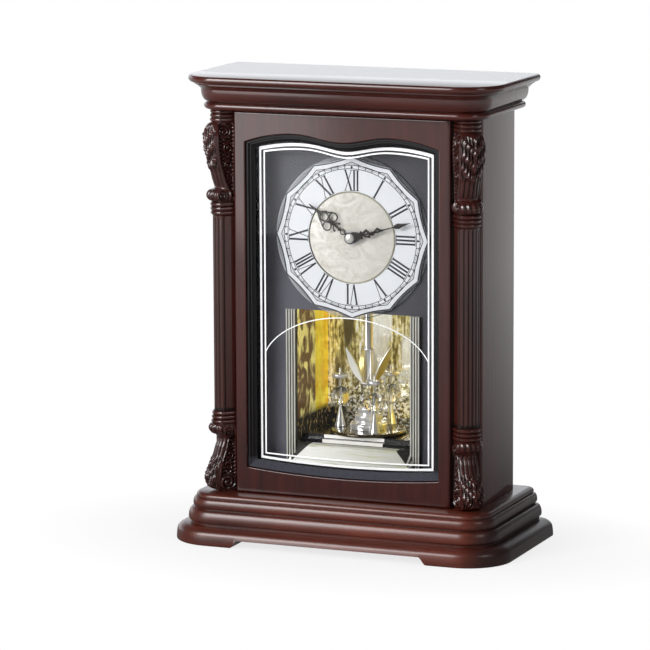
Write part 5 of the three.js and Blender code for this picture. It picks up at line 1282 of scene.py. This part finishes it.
def figure(text, thick=1.35, thin=0.5, tall=14.6, serif=0.4):
    """Strokes of a Roman figure, upright and centred on x = 0: (from, to, width)."""
    x = -sum(FIGURE_WIDTHS[c] for c in text) / 2
    foot, head = -tall / 2, tall / 2
    made = []

    def add_serif(at, z, half):
        """Short level stroke across a stroke's end."""
        made.append(((at - half, z), (at + half, z), serif))

    for c in text:
        middle, left, right = x + FIGURE_WIDTHS[c] / 2, x + 0.9, x + FIGURE_WIDTHS[c] - 0.9
        if c == "I":
            made += [((middle, foot), (middle, head), thick)]
            add_serif(middle, foot, 1.35)
            add_serif(middle, head, 1.35)
        if c == "V":
            made += [((left, head), (middle, foot), thick), ((right, head), (middle, foot), thin)]
            add_serif(left, head, 1.2)
            add_serif(right, head, 1.1)
        if c == "X":
            made += [((left, head), (right, foot), thick), ((right, head), (left, foot), thin)]
            for at in (left, right):
                add_serif(at, foot, 1.2)
                add_serif(at, head, 1.2)
        x += FIGURE_WIDTHS[c]
    return made


INK_Y = dial_front - 0.05
FIGURE_CIRCLE, DOT_CIRCLE = 41.4, 50.9
RAIL_IN, RAIL_OUT, RAIL_WIDTH = 49.5, 52.1, 0.48
marks, dots = [], []
for hour, text in enumerate(["XII", "I", "II", "III", "IIII", "V", "VI", "VII", "VIII", "IX", "X", "XI"]):
    turned = math.radians(30 * hour)
    c, s = math.cos(turned), math.sin(turned)
    squeeze = min(1.0, 11.6 / sum(FIGURE_WIDTHS[letter] for letter in text))
    for a, b, width in figure(text):
        ends = [(p[0] * squeeze, p[1] + FIGURE_CIRCLE) for p in (a, b)]
        spun = [(c * x + s * z, CENTRE - s * x + c * z) for x, z in ends]
        marks.append(stroke(*spun, width * (0.9 if squeeze < 1 else 1.0), width, INK_Y))
    dots.append(lathe("dot", [(0, INK_Y), (0.85, INK_Y), (0.85, INK_Y + 0.05), (0, INK_Y + 0.05)],
                      (DOT_CIRCLE * s, 0, CENTRE + DOT_CIRCLE * c), axis="Y", sides=12))
for minute in range(60):
    direction = np.array([math.sin(math.radians(6 * minute)), math.cos(math.radians(6 * minute))])
    tick = [np.array([0, CENTRE]) + direction * reach for reach in (49.7, RAIL_OUT)]
    marks.append(stroke(*tick, 0.5, 0.5, INK_Y))
figures = bars("figures", marks)
rails = [flat_ring("rail", radius, radius + RAIL_WIDTH, INK_Y, INK_Y + 0.05, 0.01, 120)
         for radius in (RAIL_IN, RAIL_OUT)]
borders = [ribbon("border", star(radius), width, INK_Y) for radius, width in ((54.7, 0.55), (53.6, 0.25))]
dress(join("dial_print", [figures] + dots + rails + borders), ink, "case")
bevel_line = ribbon("bevel_line", star(58.5), 0.85, dial_front + 0.05, 0.6)
dress(bevel_line, ink, "case")
print("dial print strokes:", len(marks))

# %% [markdown]
# The hands are pierced from thin sheet in an old pattern: the hour hand carries a clover of
# rings, the minute hand a winding stem and a long spade. Rings are thin tubes with flat sides,
# curls are ribbons along a curve, and each hand turns about the dial's centre.

# %% Hands
def on_hand(points, turn_deg):
    """Turns (across, along) points to their place on the dial, clockwise from twelve."""
    t = math.radians(turn_deg)
    points = np.atleast_2d(points)
    x = points[:, 0] * math.cos(t) + points[:, 1] * math.sin(t)
    z = -points[:, 0] * math.sin(t) + points[:, 1] * math.cos(t)
    return np.stack([x, CENTRE + z], axis=1)


def hand_ring(across, along, outer, wall, y, turn_deg, thick=0.5, sides=28):
    """Ring about a point of the hand, with a raised middle."""
    t = np.arange(sides) * 2 * np.pi / sides
    around = np.stack([np.cos(t), np.sin(t)], axis=1)
    section = [(outer - wall, y + thick), (outer - wall, y + 0.1), (outer - wall / 2, y), (outer, y + 0.1),
               (outer, y + thick)]
    loops = [(on_hand(np.array([across, along]) + around * r, turn_deg), depth) for r, depth in section]
    return ring_of("ring", loops, crease=60)


def hand_blade(pairs, y, turn_deg, thick=0.5):
    """Symmetrical leaf from (along, half width) pairs with a raised middle."""
    rows = []
    for along, half in pairs:
        one, mid, two = on_hand([[half, along], [0, along], [-half, along]], turn_deg)
        section = [(one, y + 0.15), (mid, y), (two, y + 0.15), (two, y + thick), (one, y + thick)]
        rows.append([(point[0], depth, point[1]) for point, depth in section])
    return skin("blade", np.array(rows), crease=25)


def hand_curl(knots, width, y, turn_deg, thick=0.5, steps=24):
    """Ribbon through (across, along) knots: a Catmull-Rom curve, each span a cubic of its four knots."""
    k = np.array([knots[0]] + list(knots) + [knots[-1]], float)
    t = np.linspace(0, len(knots) - 1.001, steps)
    i, f = t.astype(int), (t % 1)[:, None]
    a, b, c, d = k[i], k[i + 1], k[i + 2], k[i + 3]
    path = 0.5 * (2 * b + (c - a) * f + (2 * a - 5 * b + 4 * c - d) * f ** 2
                  + (3 * b - a - 3 * c + d) * f ** 3)
    wide = np.interp(np.linspace(0, 1, steps), np.linspace(0, 1, len(width)), width)
    return ribbon("curl", on_hand(path, turn_deg), wide, y, thick, closed=False)


def small_knobs(places, radius, y, turn_deg, thick=0.5):
    """Little discs that end the curls of a hand."""
    profile = [(0, y), (radius * 0.7, y), (radius, y + 0.15), (radius, y + thick), (0, y + thick)]
    spots = [on_hand([across, along], turn_deg)[0] for across, along in places]
    return [lathe("knob", profile, (x, 0, z), axis="Y", sides=14) for x, z in spots]


print("a hand's point 10 mm out at three o'clock:", on_hand([0, 10], 90)[0].round(2).tolist())

# %% [markdown]
# Both hands are built lying along their own stem and turned as they are made: 306 degrees is the
# hour hand's place and 74 the minute hand's, so the clock shows twelve minutes past ten.

# %% Hour and minute hand
hour_front, hour_rear = span("hour_hand", "y")
minute_front, minute_rear = span("minute_hand", "y")
HOUR = (hour_front, 306.0)
MINUTE = (minute_front, 74.0)
hour_parts = [hand_blade(pairs, *HOUR) for pairs in (
    [(3.0, 1.0), (4.6, 0.8), (5.2, 0.7)],
    [(9.0, 0.75), (10.4, 1.5), (11.6, 0.7), (14.6, 0.65), (16.4, 1.3), (21.0, 0.9)],
    [(28.2, 1.0), (29.8, 1.4), (31.2, 1.0), (33.5, 0.8), (39.4, 0.4)])]
hour_parts.append(hand_ring(0, 7.1, 2.2, 0.75, *HOUR))
clover = [(4.1, 19.1), (-4.1, 19.1), (0, 24.8)]
hour_parts += [hand_ring(across, along, 3.6, 0.95, *HOUR) for across, along in clover]
for sign in (-1, 1):
    outer_curl = [(sign * 6.8, 21.8), (sign * 4.9, 23.7), (sign * 3.5, 26.6), (0, 30.8)]
    inner_curl = [(0, 15.6), (sign * 2.4, 14.6), (sign * 3.3, 12.8)]
    hour_parts.append(hand_curl(outer_curl, (0.5, 0.9, 1.0, 0.9), *HOUR))
    hour_parts.append(hand_curl(inner_curl, (0.8, 0.6), *HOUR))
hour_parts += small_knobs([(3.3, 12.6), (-3.3, 12.6)], 0.8, *HOUR)
hour_sleeve = [(1.5, hour_front), (3.6, hour_front), (3.6, hour_front + 0.5), (2.3, hour_front + 0.6),
               (2.3, hour_rear), (1.5, hour_rear), (1.5, hour_front)]
hour_parts.append(on_axis("sleeve", hour_sleeve, 40, capped=False))
dress(join("hour_hand_pierced", hour_parts), hand_paint, "hour_hand", "hour_hand")

wind = [(0, 5.0), (1.2, 8.0), (-1.3, 11.5), (-2.2, 14.0), (0.2, 16.2), (1.3, 18.2), (-0.6, 20.4),
        (-1.5, 22.6), (0, 25.2), (0, 27.6)]
counter_wind = [(0, 5.0), (-1.6, 8.2), (1.2, 12.0), (1.9, 14.8), (-0.4, 17.8), (0.7, 22.0), (0, 26.0)]
spade = [(0.5, 3.4), (3.0, 3.9), (6.0, 3.3), (8.6, 2.0), (10.2, 0.9), (12, 0.7), (20, 0.55), (27, 0.5),
         (33.5, 0.42), (35.2, 0.5), (36.4, 1.5), (38.8, 2.0), (41.5, 1.35), (44.6, 0.7), (48.4, 0.15)]
curl_ends = [(-2.7, 14.0), (2.3, 15.0), (0.9, 17.9), (-1.8, 22.6), (1.8, 9.0), (-2.2, 9.6)]
minute_parts = [hand_curl(wind, (2.0, 1.9, 1.7, 1.5, 1.1), *MINUTE, steps=48),
                hand_curl(counter_wind, (1.4, 1.1, 0.8), *MINUTE, steps=40), hand_blade(spade, *MINUTE)]
minute_parts += small_knobs(curl_ends, 0.95, *MINUTE)
minute_arbor = [(0, minute_front), (4.2, minute_front), (4.2, minute_front + 0.5),
                (1.2, minute_front + 0.6), (1.2, minute_rear), (0, minute_rear)]
minute_parts.append(on_axis("arbor", minute_arbor, 40))
dress(join("minute_hand_pierced", minute_parts), hand_paint, "minute_hand", "minute_hand")
cap_rear = span("hand_cap", "y")[1]
dome = np.linspace(0, np.pi / 2, 12)
cap_profile = [(3.5 * math.sin(t), cap_rear - 1.8 * math.cos(t)) for t in dome] + [(0, cap_rear)]
dress(on_axis("hand_nut", cap_profile), nickel, "minute_hand", "hand_cap")
print("hand parts:", len(hour_parts), "and", len(minute_parts))

# %% [markdown]
# The turning pendulum is a little carousel: a chrome tube with three leaning petals, a cut
# glass column on a stepped foot, and three crystal balls on cones. All of it is turned work
# but the petals, which are thin curved leaves.

# %% Carousel: turned chrome
SPIN = (0.0, 20.0, 0.0)
FLOOR = span("rotor_pedestal", "z")[0]
LIFT, TUBE_TOP = span("rotor_tube", "z")


def rounded(profile, radius=0.25, steps=3):
    """Softens each corner of a profile: a corner becomes a short curve between points on its two sides."""
    profile = np.asarray(profile, float)
    made = [profile[0]]
    for before, corner, after in zip(profile[:-2], profile[1:-1], profile[2:]):
        one, two = before - corner, after - corner
        cut = min(radius, np.linalg.norm(one) * 0.45, np.linalg.norm(two) * 0.45)
        start = corner + one / max(np.linalg.norm(one), 1e-9) * cut
        stop = corner + two / max(np.linalg.norm(two), 1e-9) * cut
        for t in np.linspace(0, 1, steps + 1):
            made.append((1 - t) ** 2 * start + 2 * t * (1 - t) * corner + t * t * stop)
    made.append(profile[-1])
    return np.array(made)


foot_rows = [
    (0, 0), (13.9, 0), (13.9, 3.6), (12.9, 4.6), (8.7, 5.4), (8.7, 5.9), (10.3, 6.3), (10.3, 9.8),
    (8.7, 10.8), (7.0, 11.4), (7.0, 11.9), (8.2, 12.3), (8.2, 15.2), (7.3, 16.2), (0, 16.2)]
pedestal = lathe("stepped_foot", rounded([(r, FLOOR + h) for r, h in foot_rows]), SPIN, sides=64)
dress(pedestal, chrome, "pendulum", "rotor_pedestal")
tube_rows = [
    (0, LIFT), (5.4, LIFT), (7.0, LIFT + 1.1), (7.0, LIFT + 2.1), (3.4, LIFT + 2.4), (3.4, 136.8),
    (4.7, 137.2), (4.7, 138.2), (3.4, 138.6), (3.4, 168.0), (1.4, 168.0), (1.4, TUBE_TOP), (0, TUBE_TOP)]
dress(lathe("tube", rounded(tube_rows), SPIN), chrome, "pendulum", "rotor_tube")
shaft_foot, disc_top = span("rotor_disc", "z")
disc_rows = [
    (0, shaft_foot), (1.8, shaft_foot), (1.8, disc_top - 2.4), (27.4, disc_top - 2.4),
    (28.0, disc_top - 1.6), (28.0, disc_top - 0.8), (27.2, disc_top), (0, disc_top)]
dress(lathe("rotor_plate", rounded(disc_rows, 0.3), SPIN, sides=96), bronze_gloss, "pendulum", "rotor_disc")
pendant_rows = [
    (0, 0), (4.1, 0), (4.1, 0.9), (3.4, 3.0), (1.6, 11.0), (0.9, 14.5), (0.9, 36.2), (5.6, 36.3),
    (6.2, 37.2), (6.2, 38.5), (5.6, 39.4), (0.9, 39.5), (0.9, 43.0)]
for k in (1, 2, 3):
    solid = f"pendant_rod_{k}"
    low, high = span(solid, "z")
    spot = (sum(span(solid, "x")) / 2, sum(span(solid, "y")) / 2, 0)
    rows = [(r, low + h) for r, h in pendant_rows] + [(0, high)]
    dress(lathe(f"pendant_{k}", rounded(rows), spot, sides=36), chrome, "pendulum", solid)
print("carousel floor at z =", round(FLOOR, 2), "mm, cup at", round(LIFT, 2))

# %% [markdown]
# Cut crystal needs flat facets and sharp edges, since smoothing would turn it to plain glass.
# The ball's rows of facets are staggered by half a step, which makes triangles, as on a cut
# chandelier ball. It keeps a thin bore for its rod.

# %% Crystal balls and column
def cut_ball(name, centre, radius=7.6, bore=1.2, bands=9, sides=14):
    """Rings on a sphere, every second one turned half a step, joined by triangles."""
    start = math.asin(bore / radius)
    tilt = np.linspace(start, np.pi - start, bands)
    points, faces = [], []
    for j, t in enumerate(tilt):
        a = (np.arange(sides) + 0.5 * (j % 2)) * 2 * np.pi / sides
        points.append(np.stack([radius * np.sin(t) * np.cos(a), radius * np.sin(t) * np.sin(a),
                                np.full(sides, -radius * np.cos(t))], axis=1))
    for j in range(bands - 1):
        for i in range(sides):
            a, b = j * sides + i, j * sides + (i + 1) % sides
            c, d = a + sides, b + sides
            faces += [[a, b, c], [b, d, c]] if j % 2 == 0 else [[a, d, c], [a, b, d]]
    last = (bands - 1) * sides
    for i in range(sides):
        faces.append([i, last + i, last + (i + 1) % sides, (i + 1) % sides])
    return mesh_object(name, np.concatenate(points) + np.asarray(centre), faces, crease=1)


for k in (1, 2, 3):
    middle = [sum(span(f"crystal_ball_{k}", axis)) / 2 for axis in "xyz"]
    dress(cut_ball(f"ball_{k}", middle), crystal, "pendulum", f"crystal_ball_{k}")
low, high = span("crystal_column", "z")
rows = [(0, low), (5.5, low), (5.5, high), (0, high)]
dress(lathe("cut_column", rows, SPIN, sides=10, crease=1), crystal, "pendulum", "crystal_column")
print("column cut with 10 facets from z =", round(low, 2), "to", round(high, 2))

# %% [markdown]
# The petals lean outwards from the tube's cup like the leaves of a tulip. They are thin, folded
# at their middle vein and a little hollow along their length.

# %% Petals
def petal(name, angle_deg, foot_radius=5.4, lean_deg=27.0, length=30.0, half=6.6, thick=0.7):
    """Leaf whose half width is a bell along its length, leaning outwards and folded at its middle vein. The
    half on one side of the vein is marked, to be gilt."""
    t = np.linspace(0, 1, 30)[:, None]
    s = np.linspace(-1, 1, 13)[None, :]
    w = half * np.sin(np.pi * t ** 0.8) ** 0.8 * (1 - 0.15 * t) + 0.7 * (1 - t)
    across = w * s
    lean = math.radians(lean_deg)
    away = foot_radius + length * t * math.sin(lean) + 2.4 * np.abs(s) * w / half - 1.6 * np.sin(np.pi * t)
    height = LIFT + 2.6 + length * t * math.cos(lean) + 0 * s
    a = math.radians(angle_deg)

    def set_out(outward):
        """Places the leaf's points at a distance from the pendulum's axis."""
        x = SPIN[0] + outward * math.cos(a) - across * math.sin(a)
        y = SPIN[1] + outward * math.sin(a) + across * math.cos(a)
        return np.stack([x, y, height], axis=-1)

    front, rear = set_out(away), set_out(away - thick)
    gilt_half = np.repeat(unit(0.5 + 4 * s), len(t), axis=0)
    both_sides = np.hstack([gilt_half, gilt_half[:, ::-1]])
    return skin(name, np.hstack([front, rear[:, ::-1]]), crease=25, hollow=both_sides)


petal_angles = [232.5 + 120 * k for k in range(3)]
for k, angle in enumerate(petal_angles, 1):
    dress(petal(f"petal_{k}", angle), petal_gold, "pendulum", f"gold_petal_{k}")
print("petals stand at", [angle % 360 for angle in petal_angles], "degrees")

# %% [markdown]
# The stage has two low steps in front, faced with mirror strips. They are painted white and glow a
# little, as a painted reflection of the pale sill before them.

# %% Mirror strips on the stage's steps
front_y, stage_z = span("chamber_stage", "y")[0], span("chamber_stage", "z")[1]


def strip(name, y, low_z, high_z, start_x=-27.0, end_x=20.0, bevel=0.15, thick=0.3):
    """Thin bar across the clock with softened front edges: its section carried along x."""
    section = np.array([(y, low_z), (y - thick + bevel, low_z), (y - thick, low_z + bevel),
                        (y - thick, high_z - bevel), (y - thick + bevel, high_z), (y, high_z)])
    x = np.linspace(start_x, end_x, 12)
    points = np.array([[(at, a, b) for a, b in section] for at in x])
    return skin(name, points, crease=30)


for k, (back_by, drop) in enumerate(((6.8, 0.2), (3.4, 3.2))):
    band = strip(f"stage_strip_{k + 1}", front_y + back_by, stage_z - drop - 2.5, stage_z - drop)
    dress(band, strip_silver, "case")
print("strips under the stage's top at z =", round(stage_z, 2))

# %% [markdown]
# The rear cover is held by cross-head screws, and its battery door has a few ribs to grip by the
# latch. A screw head is a dome on a polar grid, lowered where the cross is cut.

# %% Rear screws and door grip
COVER_BACK, SCREW_INSET = 55.0, 20.0


def screw_head(name, x, z, radius=2.6, rise=0.9, slot=0.38, arm=1.6, rings=16, sides=48):
    """Dome seen from behind: its height falls with the square of the distance, less the cross near the
    middle."""
    r = np.linspace(0, radius, rings)[:, None]
    a = (np.arange(sides) * 2 * np.pi / sides)[None, :]
    across, upwards = r * np.cos(a), r * np.sin(a)
    near = np.minimum(np.abs(across), np.abs(upwards))
    cut = unit((slot - near) / 0.12) * unit((arm - r) / 0.2)
    high = rise * (1 - 0.75 * (r / radius) ** 2) - 0.6 * cut
    dome = np.stack([x + across, COVER_BACK + high, z + upwards], axis=-1)
    foot = dome[-1:].copy()
    foot[..., 1] = COVER_BACK
    return skin(name, np.concatenate([dome, foot]), crease=35)


screw_x = span("rear_cover", "x")[1] - SCREW_INSET
cover_foot, cover_top = span("rear_cover", "z")
screw_heights = np.linspace(cover_foot + SCREW_INSET, cover_top - SCREW_INSET, 3)
heads = [screw_head("head", side * screw_x, z) for side in (-1, 1) for z in screw_heights]
dress(join("rear_screws", heads), steel, "case")
door_top = span("access_door", "z")[1]


def grip_rib(z, half=14.0, rise=0.55, tall=0.7):
    """Half-round bar across the door: its section is carried along x and pinched at both ends."""
    a = np.linspace(0, np.pi, 9)
    x = np.array([-half, -half + 0.3, half - 0.3, half])
    pinch = np.array([0.2, 1.0, 1.0, 0.2])[:, None]
    y = COVER_BACK + rise * pinch * np.sin(a)
    level = z + tall * pinch * np.cos(a)
    return skin("rib", np.stack([x[:, None] + 0 * level, y, level], axis=-1), crease=35)


ribs = [grip_rib(door_top - 13.0 - 2.6 * k) for k in range(5)]
dress(join("door_grip", ribs), case_plastic, "access_door")
print("screws:", len(heads), "grip ribs:", len(ribs))

# %% [markdown]
# Last come the solids whose shapes are right already. They keep their own meshes and only take
# a finish.

# %% Finishes on the solids
kept = {
    wood_painted_shade: ["left_corner_post", "right_corner_post"],
    glass: ["front_glass"],
    mask_paint: ["mask_panel"],
    champagne: ["chamber_trim"],
    gold_mirror: ["chamber_mirror"],
    black_gloss: ["chamber_stage"],
    case_plastic: ["glass_retainer", "rear_cover", "access_door", "sound_switch", "set_knob"],
    works_plastic: ["movement_case", "cell_holder", "pendulum_drive", "chamber_ceiling"],
    speaker_cone: ["speaker"],
    cell_blue: ["aa_cell", "c_cell_left", "c_cell_right"],
    steel: ["centre_stem", "left_hinge_pin", "right_hinge_pin"],
}
for finish, names in kept.items():
    for name in names:
        finish.paint(nodes[name])
print("solids painted:", sum(len(names) for names in kept.values()))

# %% [markdown]
# The picture keeps its colours as they are computed, with no film look on top.

# %% Settings and finish
bpy.context.scene.view_settings.view_transform = "Standard"
